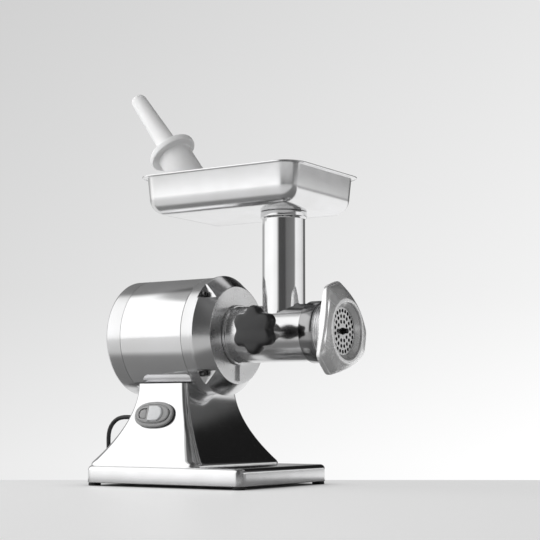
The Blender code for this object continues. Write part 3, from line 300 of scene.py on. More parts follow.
def rounded_rectangle(half_x, front, rear, corner, z, per_corner=14):
    """Points of a rectangle with round corners at height z, counter-clockwise from above."""
    centres = (
        (half_x - corner, rear - corner),
        (corner - half_x, rear - corner),
        (corner - half_x, front + corner),
        (half_x - corner, front + corner),
    )
    points = []
    for quarter, (x, y) in enumerate(centres):
        for step in range(per_corner):
            angle = math.pi / 2 * (quarter + step / (per_corner - 1))
            points.append((x + corner * math.cos(angle), y + corner * math.sin(angle), z))
    return points


def combine(mesh, cutter, operation="DIFFERENCE", sharp=38):
    """Boolean of two meshes as a new mesh."""
    scene = bpy.context.scene.collection
    item = bpy.data.objects.new("boolean_body", mesh)
    tool = bpy.data.objects.new("boolean_tool", cutter)
    scene.objects.link(item)
    scene.objects.link(tool)
    modifier = item.modifiers.new("boolean", "BOOLEAN")
    modifier.operation = operation
    modifier.object = tool
    modifier.solver = "EXACT"
    bpy.context.view_layer.update()
    result = bpy.data.meshes.new_from_object(item.evaluated_get(bpy.context.evaluated_depsgraph_get()))
    bpy.data.objects.remove(item, do_unlink=True)
    bpy.data.objects.remove(tool, do_unlink=True)
    result.shade_smooth()
    result.set_sharp_from_angle(angle=math.radians(sharp))
    return result


def box_mesh(name, lowest, highest, place=Matrix.Identity(4)):
    bm = bmesh.new()
    size = Vector(highest) - Vector(lowest)
    bmesh.ops.create_cube(bm, size=1.0)
    centre = Matrix.Translation((Vector(lowest) + Vector(highest)) / 2)
    bmesh.ops.transform(bm, matrix=place @ centre @ Matrix.Diagonal((*size, 1.0)), verts=bm.verts)
    return finish_mesh(name, bm)


def rod_mesh(name, radius, start, stop, place, segments=SMALL_ROUND):
    profile = [(0, start), (radius, start), (radius, stop), (0, stop)]
    return turned_mesh(name, profile, place, segments=segments)


def two_tone(mesh, first, second, is_second):
    """Gives a mesh two materials, the second on the faces that the test picks by their centre."""
    mesh.materials.clear()
    mesh.materials.append(first)
    mesh.materials.append(second)
    for face in mesh.polygons:
        face.material_index = int(is_second(face.center))
    return mesh


def add_piece(name, mesh, material, body, *nodes, slot=None):
    """Adds a piece that rides on a body and stands for CAD nodes. A two-tone mesh has its own materials."""
    piece = bpy.data.objects.new(name, mesh)
    if material is not None:
        mesh.materials.clear()
        mesh.materials.append(material)
    bpy.context.scene.collection.objects.link(piece)
    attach(piece, body)
    if nodes:
        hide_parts(*nodes)
    return piece


# ---------------------------------------------------------------- base casting and feet
PEDESTAL_TOP = 0.1360
PEDESTAL_FOOT_Z = 0.0300
PEDESTAL_TOP_HALF_X = 0.0605
PEDESTAL_TOP_FRONT = 0.0431
PEDESTAL_TOP_REAR = 0.1239
PEDESTAL_TOP_CORNER = 0.0080
PEDESTAL_FOOT_HALF_X = 0.1035
PEDESTAL_FOOT_FRONT = -0.0064
PEDESTAL_FOOT_REAR = 0.1750
PEDESTAL_FOOT_CORNER = 0.0170
FLARE_POWER = 1.9
PLINTH_SIDE_TOP = 0.0205
PLINTH_TOP = 0.0270
PLINTH_CORNER = 0.0120
PLINTH_BOTTOM_EDGE = 0.0008  # bevel of its lower edge
CASTING_WALL = 0.0040


def blend(start, end, share):
    return start + (end - start) * share


def flare_share(z):
    t = min(1.0, (PEDESTAL_TOP - z) / (PEDESTAL_TOP - PEDESTAL_FOOT_Z))
    return max(0.0, t) ** FLARE_POWER


def flare_section(z):
    """Pedestal's rounded rectangle at height z."""
    grow = flare_share(z)
    half_x = blend(PEDESTAL_TOP_HALF_X, PEDESTAL_FOOT_HALF_X, grow)
    front = blend(PEDESTAL_TOP_FRONT, PEDESTAL_FOOT_FRONT, grow)
    rear = blend(PEDESTAL_TOP_REAR, PEDESTAL_FOOT_REAR, grow)
    corner = blend(PEDESTAL_TOP_CORNER, PEDESTAL_FOOT_CORNER, grow)
    return rounded_rectangle(half_x, front, rear, corner, z)


def plinth_row(inset, z):
    lowest = low("base_casting")
    highest = high("base_casting")
    corner = max(0.002, PLINTH_CORNER - inset)
    return rounded_rectangle(highest.x - inset, lowest.y + inset, highest.y - inset, corner, z)


def make_base():
    bottom = low("base_casting").z
    edge = PLINTH_TOP - PLINTH_SIDE_TOP
    outline = [
        (CASTING_WALL, bottom + 0.0030),
        (CASTING_WALL, bottom),
        (PLINTH_BOTTOM_EDGE, bottom),
        (0.0, bottom + PLINTH_BOTTOM_EDGE),
        (0.0, PLINTH_SIDE_TOP),
    ]
    for step in range(1, 11):
        angle = math.pi / 2 * step / 10
        outline.append((edge * (1 - math.cos(angle)), PLINTH_SIDE_TOP + edge * math.sin(angle)))
    bm = bmesh.new()
    add_rows(bm, [plinth_row(inset, z) for inset, z in outline])
    plinth = finish_mesh("plinth", bm)
    buried = PEDESTAL_FOOT_Z - 0.004
    heights = [buried + (PEDESTAL_TOP - buried) * i / 40 for i in range(41)]
    pedestal = rows_mesh("pedestal", [flare_section(z) for z in heights])
    casting = combine(plinth, pedestal, "UNION")
    casting = combine(casting, rod_mesh("saddle", DRUM_RADIUS + GAP, -0.1, 0.3, ON_AXIS, ROUND))
    casting = combine(casting, switch_well())
    add_piece("base_shell", casting, CASTING, "base", "base_casting")


def make_feet():
    for number in range(1, 5):
        node = f"foot_{number}"
        size = high(node) - low(node)
        centre = middle(node)
        profile = [
            (0.0026, size.z),
            (0.0045, size.z),
            (0.0045, 0.0037),
            (0.0080, 0.0037),
            (0.0085, 0.0012),
            (0.0077, 0.0),
            (0.0050, 0.0),
            (0.0050, 0.0022),
            (0.0026, 0.0022),
        ]
        place = Matrix.Translation((centre.x, centre.y, low(node).z))
        mesh = turned_mesh(node, softened(profile, 0.0005), place, closed=True, segments=SMALL_ROUND)
        add_piece(f"rubber_foot_{number}", mesh, RUBBER, "base", node)


# ---------------------------------------------------------------- switch
SWITCH_Y = 0.0866
SWITCH_Z = 0.0935
SWITCH_HALF_LENGTH = 0.0316
SWITCH_HALF_HEIGHT = 0.0178
SWITCH_NECK_LENGTH = 0.0232  # half length of the part let into the casting
SWITCH_NECK_HEIGHT = 0.0122
BUTTONS = (  # name, straight end and round end, half height, top above the face, material
    ("stop", (-0.0100, -0.0225), 0.0070, 0.0068, GREY),
    ("start", (-0.0060, 0.0170), 0.0105, 0.0098, LIGHT),
)


def side_x(z):
    return min(x for x, _, _ in flare_section(z))


def switch_frame():
    """Local X runs forward along the side face, local Y up it, and local Z out of it."""
    lower = Vector((side_x(SWITCH_Z - 0.010), 0, SWITCH_Z - 0.010))
    upper = Vector((side_x(SWITCH_Z + 0.010), 0, SWITCH_Z + 0.010))
    up = (upper - lower).normalized()
    forward = Vector((0, -1, 0))
    turn = Matrix((forward, up, forward.cross(up))).transposed().to_4x4()
    return Matrix.Translation((side_x(SWITCH_Z), SWITCH_Y, SWITCH_Z)) @ turn


def oval(half_length, half_height, height, points=72):
    """A superellipse a little fuller than an ellipse."""
    row = []
    for i in range(points):
        c = math.cos(2 * math.pi * i / points)
        s = math.sin(2 * math.pi * i / points)
        x = half_length * math.copysign(abs(c) ** 0.85, c)
        y = half_height * math.copysign(abs(s) ** 0.85, s)
        row.append((x, y, height))
    return row


def button_row(span, half_height, height, shrink=0.0, points=20):
    """Outline of a button, straight at its first end and round at the other."""
    start, end = span
    direction = math.copysign(1.0, end - start)
    reach = min(half_height, abs(end - start)) - shrink
    half = half_height - shrink
    first = start + direction * shrink
    centre = end - direction * (reach + shrink)
    row = [(first, -half, height)]
    for i in range(points):
        angle = -math.pi / 2 + math.pi * i / (points - 1)
        row.append((centre + direction * reach * math.cos(angle), half * math.sin(angle), height))
    row.append((first, half, height))
    return row if direction > 0 else row[::-1]


def switch_well():
    rows = [oval(SWITCH_NECK_LENGTH + GAP, SWITCH_NECK_HEIGHT + GAP, z) for z in (-0.012, 0.020)]
    return rows_mesh("switch_well", rows, switch_frame())


def make_switch():
    place = switch_frame()
    step = [(0.0, 0.0020), (0.0, 0.0034), (0.0006, 0.0043), (0.0018, 0.0048), (0.0040, 0.0050)]
    collar = [(0.0042, 0.0042), (0.0050, 0.0042), (0.0052, 0.0062), (0.0060, 0.0070), (0.0074, 0.0072)]
    rows = [oval(SWITCH_NECK_LENGTH, SWITCH_NECK_HEIGHT, z) for z in (-0.0050, 0.0020)]
    rows += [oval(SWITCH_HALF_LENGTH - inset, SWITCH_HALF_HEIGHT - inset, z) for inset, z in step + collar]
    bezel = rows_mesh("bezel", rows, place)
    for _, span, half, _, _ in BUTTONS:
        well = rows_mesh("well", [button_row(span, half, z, -GAP) for z in (-0.010, 0.015)], place)
        bezel = combine(bezel, well)
    add_piece("switch_frame", bezel, GREY, "base", "switch_bezel")
    for name, span, half, top, finish in BUTTONS:
        soft = [(0.0, -0.0035), (0.0, top - 0.0018), (0.0005, top - 0.0007)]
        soft += [(0.0014, top - 0.0001), (0.0022, top)]
        cap = rows_mesh(name, [button_row(span, half, z, inset) for inset, z in soft], place)
        add_piece(f"{name}_cap", cap, finish, f"{name}_button", f"{name}_button")


# ---------------------------------------------------------------- motor drum
def make_drum():
    front = low("motor_tube").y
    rear = high("motor_tube").y
    wall = 0.0025
    inner = DRUM_RADIUS - wall
    profile = [(DRUM_RADIUS, front), (DRUM_RADIUS, rear), (inner, rear), (inner, front)]
    mesh = turned_mesh("drum", softened(profile, 0.0005), ON_AXIS, closed=True)
    add_piece("drum_shell", mesh, STEEL_DRUM, "base", "motor_tube")


def make_rear_cover():
    joint = high("motor_tube").y + GAP
    rear = high("rear_cover").y
    wall = 0.0045
    edge = 0.0060
    profile = [(0, rear - wall), (DRUM_RADIUS - wall - 0.004, rear - wall), (DRUM_RADIUS - wall, joint)]
    profile.append((DRUM_RADIUS, joint))
    for step in range(13):
        angle = math.pi / 2 * step / 12
        profile.append((DRUM_RADIUS - edge * (1 - math.cos(angle)), rear - edge * (1 - math.sin(angle))))
    profile.append((0, rear))
    add_piece("rear_cap", turned_mesh("rear_cap", profile, ON_AXIS), STEEL_COVER, "base", "rear_cover")


COVER_FACE_Y = -0.0008
SPIGOT_RADIUS = 0.0310  # of the sleeve's spigot in the cover
NOTCH_TIP = 0.0680  # distance of a screw notch's tip from the axis
NOTCH_REACH = 0.0240
NOTCH_HALF_ANGLE = math.radians(48)
RIM_REAR_Y = 0.0215
SCREW_SEAT_Y = RIM_REAR_Y - 0.0010


def screw_notch(turn):
    """Cutter of the V-shaped notch that leaves a screw head free, open to the rim and to the front."""
    side = NOTCH_REACH * math.tan(NOTCH_HALF_ANGLE)
    outside = NOTCH_TIP + NOTCH_REACH
    corners = softened([(NOTCH_TIP, 0.0), (outside, -side), (outside, side)], 0.0012)
    rows = [[(x, z, y) for x, z in corners] for y in (SCREW_SEAT_Y, SCREW_SEAT_Y - 0.030)]
    flipped = Matrix.Rotation(math.radians(90), 4, "X")
    rows = [[(x, z, -height) for x, z, height in row] for row in rows]
    place = Matrix.Translation(AXIS) @ Matrix.Rotation(-turn, 4, "Y") @ flipped
    return rows_mesh("notch", rows, place)


def make_front_cover():
    joint = low("motor_tube").y - GAP
    cone_rear = 0.0178
    disc = 0.0660
    rim = half_width("front_cover")
    bore = SPIGOT_RADIUS + GAP
    profile = [
        (bore, COVER_FACE_Y),
        (disc, COVER_FACE_Y),
        (rim, cone_rear),
        (rim, RIM_REAR_Y),
        (DRUM_RADIUS, RIM_REAR_Y + 0.0005),
        (DRUM_RADIUS, joint),
        (0.0720, joint),
        (0.0720, 0.0290),
        (0.0645, 0.0275),
        (disc - 0.004, 0.0070),
        (bore, 0.0070),
    ]
    cover = turned_mesh("cover", softened(profile, 0.0007), ON_AXIS, closed=True)
    for number in range(1, 5):
        centre = middle(f"cover_screw_{number}")
        cover = combine(cover, screw_notch(math.atan2(centre.z - AXIS.z, centre.x)))
    rib = box_mesh(
        "rib",
        (-0.0020, -0.0048, AXIS.z - disc + 0.004),
        (0.0020, COVER_FACE_Y + 0.0020, AXIS.z - FLANGE_RADIUS - GAP),
    )
    cover = combine(cover, rib, "UNION")
    cover = two_tone(cover, STEEL_COVER, STEEL_DISC, lambda centre: centre.y < COVER_FACE_Y + 0.0004)
    add_piece("front_cap", cover, None, "base", "front_cover")


def make_screws():
    for number in range(1, 5):
        node = f"cover_screw_{number}"
        centre = middle(node)
        seat = low(node).y + 0.0040
        profile = [
            (0, seat + 0.0130),
            (0.0020, seat + 0.0130),
            (0.0020, seat),
            (0.0037, seat),
            (0.0037, seat - 0.0040),
            (0.0021, seat - 0.0040),
            (0.0021, seat - 0.0020),
            (0, seat - 0.0020),
        ]
        place = Matrix.Translation((centre.x, 0.0, centre.z)) @ ALONG_Y
        mesh = turned_mesh(node, softened(profile, 0.0003, closed=False), place, segments=32)
        add_piece(f"socket_screw_{number}", mesh, STEEL_DARK, "base", node)


# ---------------------------------------------------------------- neck sleeve and locking knob
SLEEVE_RADIUS = 0.0378
SLEEVE_BORE = 0.0335
SHANK_RADIUS = SLEEVE_BORE - GAP
FLANGE_RADIUS = 0.0405
TUBE_Y = middle("feed_tube").y
ON_TUBE = Matrix.Translation((0, TUBE_Y, 0))
TUBE_RADIUS = 0.0285
TUBE_BORE = 0.0265


def make_sleeve():
    front = low("neck_sleeve").y
    flange = -0.0050
    profile = [
        (SPIGOT_RADIUS, 0.0200),
        (SPIGOT_RADIUS, COVER_FACE_Y - GAP),
        (FLANGE_RADIUS, COVER_FACE_Y - GAP),
        (FLANGE_RADIUS, flange),
        (SLEEVE_RADIUS, flange),
        (SLEEVE_RADIUS, front),
        (SLEEVE_BORE, front),
        (SLEEVE_BORE, -0.0015),
        (0.0200, -0.0015),
        (0.0200, 0.0200),
    ]
    sleeve = turned_mesh("sleeve", softened(profile, 0.0008), ON_AXIS, closed=True)
    knob = middle("lock_knob")
    boss_face = low("neck_sleeve").x
    across = Matrix.Translation((0.0, knob.y, knob.z)) @ ALONG_MINUS_X
    boss_profile = [(0, 0.034), (0.0116, 0.034), (0.0116, -boss_face), (0, -boss_face)]
    boss = turned_mesh("boss", softened(boss_profile, 0.0008, closed=False), across, segments=SMALL_ROUND)
    sleeve = combine(sleeve, boss, "UNION")
    sleeve = combine(sleeve, rod_mesh("stud_hole", 0.0045, 0.030, 0.080, across))
    half = TUBE_RADIUS + GAP
    above = AXIS.z + 0.06
    sleeve = combine(sleeve, rod_mesh("slot_end", half, AXIS.z, above, ON_TUBE))
    sleeve = combine(sleeve, box_mesh("slot", (-half, front - 0.01, AXIS.z), (half, TUBE_Y, above)))
    add_piece("sleeve_shell", sleeve, STEEL_COVER, "base", "neck_sleeve")


def lobed_row(radius, depth, height, lobes=6, points=144):
    """Outline of a star grip: a circle with round hollows between its lobes."""
    row = []
    for i in range(points):
        angle = 2 * math.pi * i / points
        reach = radius - depth * ((1 - math.cos(lobes * angle)) / 2) ** 1.3
        row.append((reach * math.cos(angle), reach * math.sin(angle), height))
    return row


def make_knob():
    back = -0.0735
    reach = high("lock_knob").x - back
    face = low("lock_knob").x
    thick = back - face
    knob = middle("lock_knob")
    place = Matrix.Translation((back, knob.y, knob.z)) @ ALONG_MINUS_X
    soft = [(0.0022, 0.0), (0.0006, 0.0008), (0.0, 0.0025), (0.0, thick - 0.0055), (0.0006, thick - 0.0035)]
    soft += [(0.0020, thick - 0.0018), (0.0045, thick - 0.0006), (0.0080, thick)]
    rows = [lobed_row(half_width_z("lock_knob") - inset, 0.0062 * (1 - inset * 40), z) for inset, z in soft]
    mesh = rows_mesh("knob", rows, place)
    hub_profile = [(0, -reach), (0.0074, -reach), (0.0080, 0.0006 - reach), (0.0080, 0.002), (0, 0.002)]
    hub = turned_mesh("hub", hub_profile, place)
    mesh = combine(mesh, hub, "UNION")
    add_piece("star_knob", mesh, BLACK, "lock", "lock_knob")


# ---------------------------------------------------------------- grinding head
THREAD_RADIUS = 0.0385
SEAT_RADIUS = 0.0353  # seat of the perforated plate
JOURNAL_BORE = 0.0131


def barrel_profile(flange_front):
    """Radius and y from the rear end over the flange's crown and the thread, and back through the bore."""
    front = low("grinder_barrel").y
    rear = high("grinder_barrel").y
    shoulder = low("neck_sleeve").y - GAP
    seat = high("perforated_plate").y + GAP
    bore = 0.0302
    profile = [(JOURNAL_BORE, rear), (SHANK_RADIUS, rear)]
    profile += [(SHANK_RADIUS, shoulder), (FLANGE_RADIUS, shoulder)]
    for step in range(9):
        turn = math.pi / 2 * step / 8
        crown = FLANGE_RADIUS - 0.0024 * (1 - math.cos(turn))
        profile.append((crown, flange_front + 0.0085 * (1 - math.sin(turn))))
    root = THREAD_RADIUS - 0.0008
    profile.append((root, flange_front))
    pitch = 0.0030
    for turn in range(int((flange_front - front) / pitch)):
        y = flange_front - pitch * turn
        profile += [(root, y - 0.0006), (THREAD_RADIUS, y - 0.0012)]
        profile += [(THREAD_RADIUS, y - 0.0018), (root, y - 0.0024)]
    profile += [(root, front), (SEAT_RADIUS, front), (SEAT_RADIUS, seat), (bore, seat)]
    profile += [(bore, rear - 0.0100), (JOURNAL_BORE, rear - 0.0100)]
    return profile


def make_barrel():
    flange_front = -0.1385
    sleeve_front = low("neck_sleeve").y
    above = AXIS.z + 0.06
    barrel = turned_mesh("barrel", softened(barrel_profile(flange_front), 0.0004, 3), ON_AXIS, closed=True)
    inner = SHANK_RADIUS - 0.001
    start = sleeve_front - 0.001
    ring = [(inner, start), (SLEEVE_RADIUS, start), (SLEEVE_RADIUS, TUBE_Y), (inner, TUBE_Y)]
    pad = turned_mesh("pad", ring, ON_AXIS, closed=True)
    width = box_mesh("width", (-TUBE_RADIUS, -0.2, AXIS.z + 0.01), (TUBE_RADIUS, 0.0, AXIS.z + 0.05))
    pad = combine(pad, width, "INTERSECT")
    pad = combine(pad, rod_mesh("clearance", TUBE_RADIUS + GAP, AXIS.z, above, ON_TUBE))
    barrel = combine(barrel, pad, "UNION")
    barrel = combine(barrel, rod_mesh("throat", TUBE_BORE - GAP, AXIS.z, above, ON_TUBE))

    def in_collar(centre):
        return flange_front < centre.y < sleeve_front + 0.001

    barrel = two_tone(barrel, STEEL_COVER, STEEL_COLLAR, in_collar)
    add_piece("barrel_shell", barrel, None, "head", "grinder_barrel")


def make_tube():
    top = high("feed_tube").z
    bottom = AXIS.z + 0.010
    lip = half_width("feed_tube")
    profile = [
        (TUBE_RADIUS, bottom),
        (TUBE_RADIUS, top - 0.0090),
        (lip, top - 0.0070),
        (lip, top),
        (TUBE_BORE, top),
        (TUBE_BORE, bottom),
    ]
    tube = turned_mesh("tube", softened(profile, 0.0008), ON_TUBE, closed=True)
    tube = combine(tube, rod_mesh("saddle", SLEEVE_BORE, -0.2, 0.1, ON_AXIS, ROUND))
    add_piece("feed_chute", tube, STEEL_TUBE, "head", "feed_tube")


PLATE_HOLE_RADIUS = 0.0026


def make_plate():
    front = low("perforated_plate").y
    rear = high("perforated_plate").y
    radius = half_width("perforated_plate")
    curve = bpy.data.curves.new("plate", "CURVE")
    curve.dimensions = "2D"
    curve.fill_mode = "BOTH"
    curve.extrude = (rear - front) / 2 - 0.0002
    curve.bevel_depth = 0.0002
    curve.bevel_resolution = 1
    circles = [(radius - 0.0002, (0, 0), 96), (0.0048, (0, 0), 32)]
    for ring, count in ((0.0125, 10), (0.0195, 16), (0.0265, 24)):
        for number in range(count):
            angle = 2 * math.pi * (number + 0.5 * (count == 16)) / count
            circles.append((PLATE_HOLE_RADIUS, (ring * math.cos(angle), ring * math.sin(angle)), 20))
    for size, (x, y), points in circles:
        spline = curve.splines.new("POLY")
        spline.points.add(points - 1)
        spline.use_cyclic_u = True
        for i, point in enumerate(spline.points):
            angle = 2 * math.pi * i / points
            point.co = (x + size * math.cos(angle), y + size * math.sin(angle), 0.0, 1.0)
    item = bpy.data.objects.new("plate", curve)
    bpy.context.scene.collection.objects.link(item)
    bpy.context.view_layer.update()
    mesh = bpy.data.meshes.new_from_object(item.evaluated_get(bpy.context.evaluated_depsgraph_get()))
    bpy.data.objects.remove(item, do_unlink=True)
    mesh.transform(Matrix.Translation((0, (front + rear) / 2, AXIS.z)) @ ALONG_Y)
    mesh.shade_smooth()
    mesh.set_sharp_from_angle(angle=math.radians(30))

    # Painted shade: near-black on the hole walls and on the rear face within 30 mm of the axis.
    def in_hole(centre):
        return front + 0.0004 < centre.y and math.hypot(centre.x, centre.z - AXIS.z) < 0.030

    mesh = two_tone(mesh, STEEL_PLATE, STEEL_SHADE, in_hole)
    add_piece("cutting_plate", mesh, None, "head", "perforated_plate")


NUT_OPENING_RADIUS = 0.0370
NUT_RIM_RADIUS = 0.0422
NUT_SIDE_RADIUS = 0.0486  # half way between two ears
NUT_EAR_REACH = 0.0636
NUT_EAR_HALF_WIDTH = 0.0165
NUT_EARS = 3
NUT_TURN = math.radians(107.5)  # direction of the first ear


def nut_outline(turn):
    """Distance of the nut's outline from its axis: three wide ears cut off straight, with bulges between."""
    half_step = math.pi / NUT_EARS
    from_ear = abs((turn - NUT_TURN + half_step) % (2 * half_step) - half_step)
    corner_turn = math.atan2(NUT_EAR_HALF_WIDTH, NUT_EAR_REACH)
    corner = math.hypot(NUT_EAR_HALF_WIDTH, NUT_EAR_REACH)
    bulge = math.acos(NUT_SIDE_RADIUS / corner) / (half_step - corner_turn)
    side = NUT_SIDE_RADIUS / math.cos(bulge * (half_step - from_ear))
    end = NUT_EAR_REACH / math.cos(from_ear)
    sharpness = 30
    return (side**-sharpness + end**-sharpness) ** (-1 / sharpness)


def nut_section(turn):
    """Radius and y round the nut's section in one direction, from its opening over the ear to the thread."""
    front = low("ring_nut").y
    rear = high("ring_nut").y
    plate = low("perforated_plate").y - GAP
    edge = nut_outline(turn)
    reach = max(0.0, (edge - NUT_SIDE_RADIUS) / (NUT_EAR_REACH - NUT_SIDE_RADIUS))
    face = -0.1656 + 0.0042 * reach
    outer = [(NUT_RIM_RADIUS, front + 0.0010)]
    for share, drop in ((0.25, 0.12), (0.5, 0.30), (0.75, 0.58)):
        outer.append((blend(NUT_RIM_RADIUS, edge, share), blend(front + 0.0010, face, drop)))
    rounding = 0.0024
    for step in range(7):
        angle = math.pi / 2 * step / 6
        outer.append((edge - rounding * (1 - math.sin(angle)), face + rounding * (1 - math.cos(angle))))
    rim = [(NUT_OPENING_RADIUS, front + 0.0030), (NUT_OPENING_RADIUS, front), (NUT_RIM_RADIUS, front)]
    opening = softened([*rim, outer[1]], 0.0020, 6, closed=False)
    back = [
        (edge, rear - 0.0012),
        (edge - 0.0004, rear - 0.0004),
        (edge - 0.0012, rear),
        (THREAD_RADIUS + 0.0010, rear),
        (THREAD_RADIUS + GAP, rear - 0.0008),
        (THREAD_RADIUS + GAP, plate),
        (0.0308, plate),
        (0.0312, plate - 0.0006),
    ]
    return opening + outer[2:] + back


def make_nut(points=240):
    turns = [2 * math.pi * i / points for i in range(points)]
    sections = [nut_section(turn) for turn in turns]
    rows = []
    for k in range(len(sections[0])):
        rows.append(
            [
                (section[k][0] * math.cos(turn), section[k][1], AXIS.z + section[k][0] * math.sin(turn))
                for turn, section in zip(turns, sections)
            ]
        )
    nut = rows_mesh("nut", rows, closed=True, sharp=32)
    add_piece("eared_nut", nut, STEEL_NUT, "nut", "ring_nut")


# ---------------------------------------------------------------- pan and pusher
def make_pan():
    lowest = low("tray")
    highest = high("tray")
    sheet = 0.0014
    lip = 0.0075
    draft = 0.0030
    floor_round = 0.0230
    top = highest.z
    bottom = lowest.z
    under = top - sheet
    steps = 10

    def rounding(inset, radius, height):
        turns = [math.pi / 2 * step / (steps - 1) for step in range(steps)]
        return [(inset + radius * (1 - math.sin(a)), height + radius * (1 - math.cos(a))) for a in turns]

    outer = rounding(lip + draft, floor_round, bottom)
    outer += softened([outer[-1], (lip, under), (sheet, under), (sheet, top - 0.0022)], 0.0006, 4, False)[1:]
    outer += [(0.0005, top - 0.0022), (0.0, top - 0.0016)]
    upper = [(0.0, top - 0.0010), (0.0, top), (lip, top), (lip + sheet, top - 0.0030)]
    outer += softened(upper, 0.0010, 4, False)
    outer += rounding(lip + draft + sheet, floor_round - sheet, bottom + sheet)[::-1]
    rows = []
    for inset, z in outer:
        corner = max(0.004, 0.0310 - inset)
        rows.append(rounded_rectangle(highest.x - inset, lowest.y + inset, highest.y - inset, corner, z, 24))
    pan = rows_mesh("pan", rows)
    pan = combine(pan, rod_mesh("pan_hole", 0.0261, bottom - 0.01, bottom + 0.01, ON_TUBE))
    add_piece("pan_shell", pan, STEEL_PAN, "tray", "tray")
    radius = half_width("tray_spigot")
    profile = [
        (radius, low("tray_spigot").z),
        (radius, high("tray_spigot").z),
        (radius - sheet, high("tray_spigot").z),
        (radius - sheet, low("tray_spigot").z),
    ]
    mesh = turned_mesh("spigot", softened(profile, 0.0004, 3), ON_TUBE, closed=True)
    add_piece("pan_spigot", mesh, STEEL_PAN, "tray", "tray_spigot")


PUSHER_FLANGE = Vector((-0.0200, 0.0971, 0.4580))
PUSHER_LEAN = math.radians(36.7)


def make_pusher():
    length = 0.0940
    profile = [
        (0, 0.1070),
        (0.0050, 0.1068),
        (0.0088, 0.1050),
        (0.0108, 0.1016),
        (0.0112, 0.0970),
        (0.0145, 0.0072),
        (0.0165, 0.0054),
        (0.0318, 0.0050),
        (0.0335, 0.0034),
        (0.0335, -0.0034),
        (0.0318, -0.0050),
        (0.0248, -0.0052),
        (0.0240, -0.0060),
        (0.0235, 0.0030 - length),
        (0.0225, 0.0008 - length),
        (0.0200, -length),
        (0, -length),
    ]
    place = Matrix.Translation(PUSHER_FLANGE) @ Matrix.Rotation(-PUSHER_LEAN, 4, "X")
    mesh = turned_mesh("pusher", softened(profile, 0.0012, 4, closed=False), place, segments=96)
    add_piece("food_pusher", mesh, WHITE, "pusher", "pusher")


# ---------------------------------------------------------------- cord
CORD_DIAMETER = 0.0060
CORD_ROUTE = [
    (-0.0220, 0.1578, 0.0910),
    (-0.0220, 0.1660, 0.0910),
    (-0.0220, 0.1760, 0.0910),
    (-0.0220, 0.1867, 0.0889),
    (-0.0219, 0.1958, 0.0828),
    (-0.0217, 0.2019, 0.0737),
    (-0.0214, 0.2040, 0.0630),
    (-0.0210, 0.2041, 0.0510),
    (-0.0207, 0.2043, 0.0390),
    (-0.0206, 0.2045, 0.0294),
    (-0.0186, 0.2050, 0.0195),
    (-0.0130, 0.2055, 0.0110),
    (-0.0045, 0.2060, 0.0054),
    (0.0054, 0.2062, 0.0034),
    (0.0200, 0.2050, 0.0034),
    (0.0380, 0.2022, 0.0034),
    (0.0570, 0.2000, 0.0034),
    (0.0770, 0.2000, 0.0034),
]
COIL_TURNS_PER_LAYER = 2.5
COIL_PITCH = 0.0061


def smooth_route(points, spacing):
    """Points at about this spacing on a Catmull-Rom curve through the route's points."""
    ends = [2 * Vector(points[0]) - Vector(points[1])]
    ends += [Vector(point) for point in points]
    ends.append(2 * ends[-1] - ends[-2])
    route = [ends[1]]
    for before, start, end, after in zip(ends, ends[1:], ends[2:], ends[3:]):
        count = max(1, round((end - start).length / spacing))
        for step in range(1, count + 1):
            t = step / count
            route.append(
                0.5
                * (
                    2 * start
                    + (end - before) * t
                    + (2 * before - 5 * start + 4 * end - after) * t * t
                    + (3 * start - before - 3 * end + after) * t**3
                )
            )
    return route


def coil_route():
    """Two flat layers of turns: inwards on the floor, then outwards on top of them."""
    centre = middle("cord_coil")
    outer = half_width("cord_coil") - CORD_DIAMETER / 2
    turns = round(2 * COIL_TURNS_PER_LAYER)
    steps = 48
    points = []
    for i in range(turns * steps + 1):
        turn = i / steps
        layer = COIL_TURNS_PER_LAYER
        inward = min(turn, layer - 0.5) - max(0.0, turn - layer - 0.5)
        climb = min(1.0, max(0.0, turn - layer + 0.35) / 0.7)
        height = 0.0034 + COIL_PITCH * climb * climb * (3 - 2 * climb)
        radius = outer - COIL_PITCH * inward
        angle = 2 * math.pi * turn - math.pi / 2
        points.append((centre.x + radius * math.cos(angle), centre.y + radius * math.sin(angle), height))
    return points


def make_cord():
    nose = Vector((low("mains_plug").x, middle("mains_plug").y, middle("mains_plug").z))
    coil = coil_route()
    lead = [tuple(coil[-1]), (nose.x - 0.008, nose.y, nose.z - 0.002), (nose.x + 0.004, nose.y, nose.z)]
    route = smooth_route(CORD_ROUTE, 0.0060)
    route += smooth_route([CORD_ROUTE[-1], coil[0]], 0.0060)[1:]
    route += [Vector(point) for point in coil[1:]]
    route += smooth_route(lead, 0.0040)[1:]
    curve = bpy.data.curves.new("mains_cord", "CURVE")
    curve.dimensions = "3D"
    curve.bevel_depth = CORD_DIAMETER / 2
    curve.bevel_resolution = 4
    curve.use_fill_caps = True
    spline = curve.splines.new("POLY")
    spline.points.add(len(route) - 1)
    for point, place in zip(spline.points, route):
        point.co = (*place, 1.0)
    spline.use_smooth = True
    piece = add_piece("mains_cord", curve, JACKET, "base", "power_cord", "cord_coil")
    plug = make_plug()


def make_plug():
    node = "mains_plug"
    nose = low(node).x
    face = high(node).x - nose
    radius = half_width_z(node)
    centre = middle(node)
    profile = [(0, face), (radius, face), (radius, 0.0290), (0.0130, 0.0230), (0.0060, 0.0180)]
    for rib in range(4):
        start = 0.0160 - 0.0040 * rib
        profile += [(0.0056, start), (0.0056, start - 0.0022)]
        profile += [(0.0046, start - 0.0026), (0.0046, start - 0.0038)]
    profile += [(0.0040, 0.0), (0, 0.0)]
    place = Matrix.Translation((nose, centre.y, centre.z)) @ Matrix.Rotation(math.radians(90), 4, "Y")
    mesh = turned_mesh("plug", softened(profile, 0.0010, 4, closed=False), place, segments=72)
    return add_piece("moulded_plug", mesh, JACKET, "base", node)


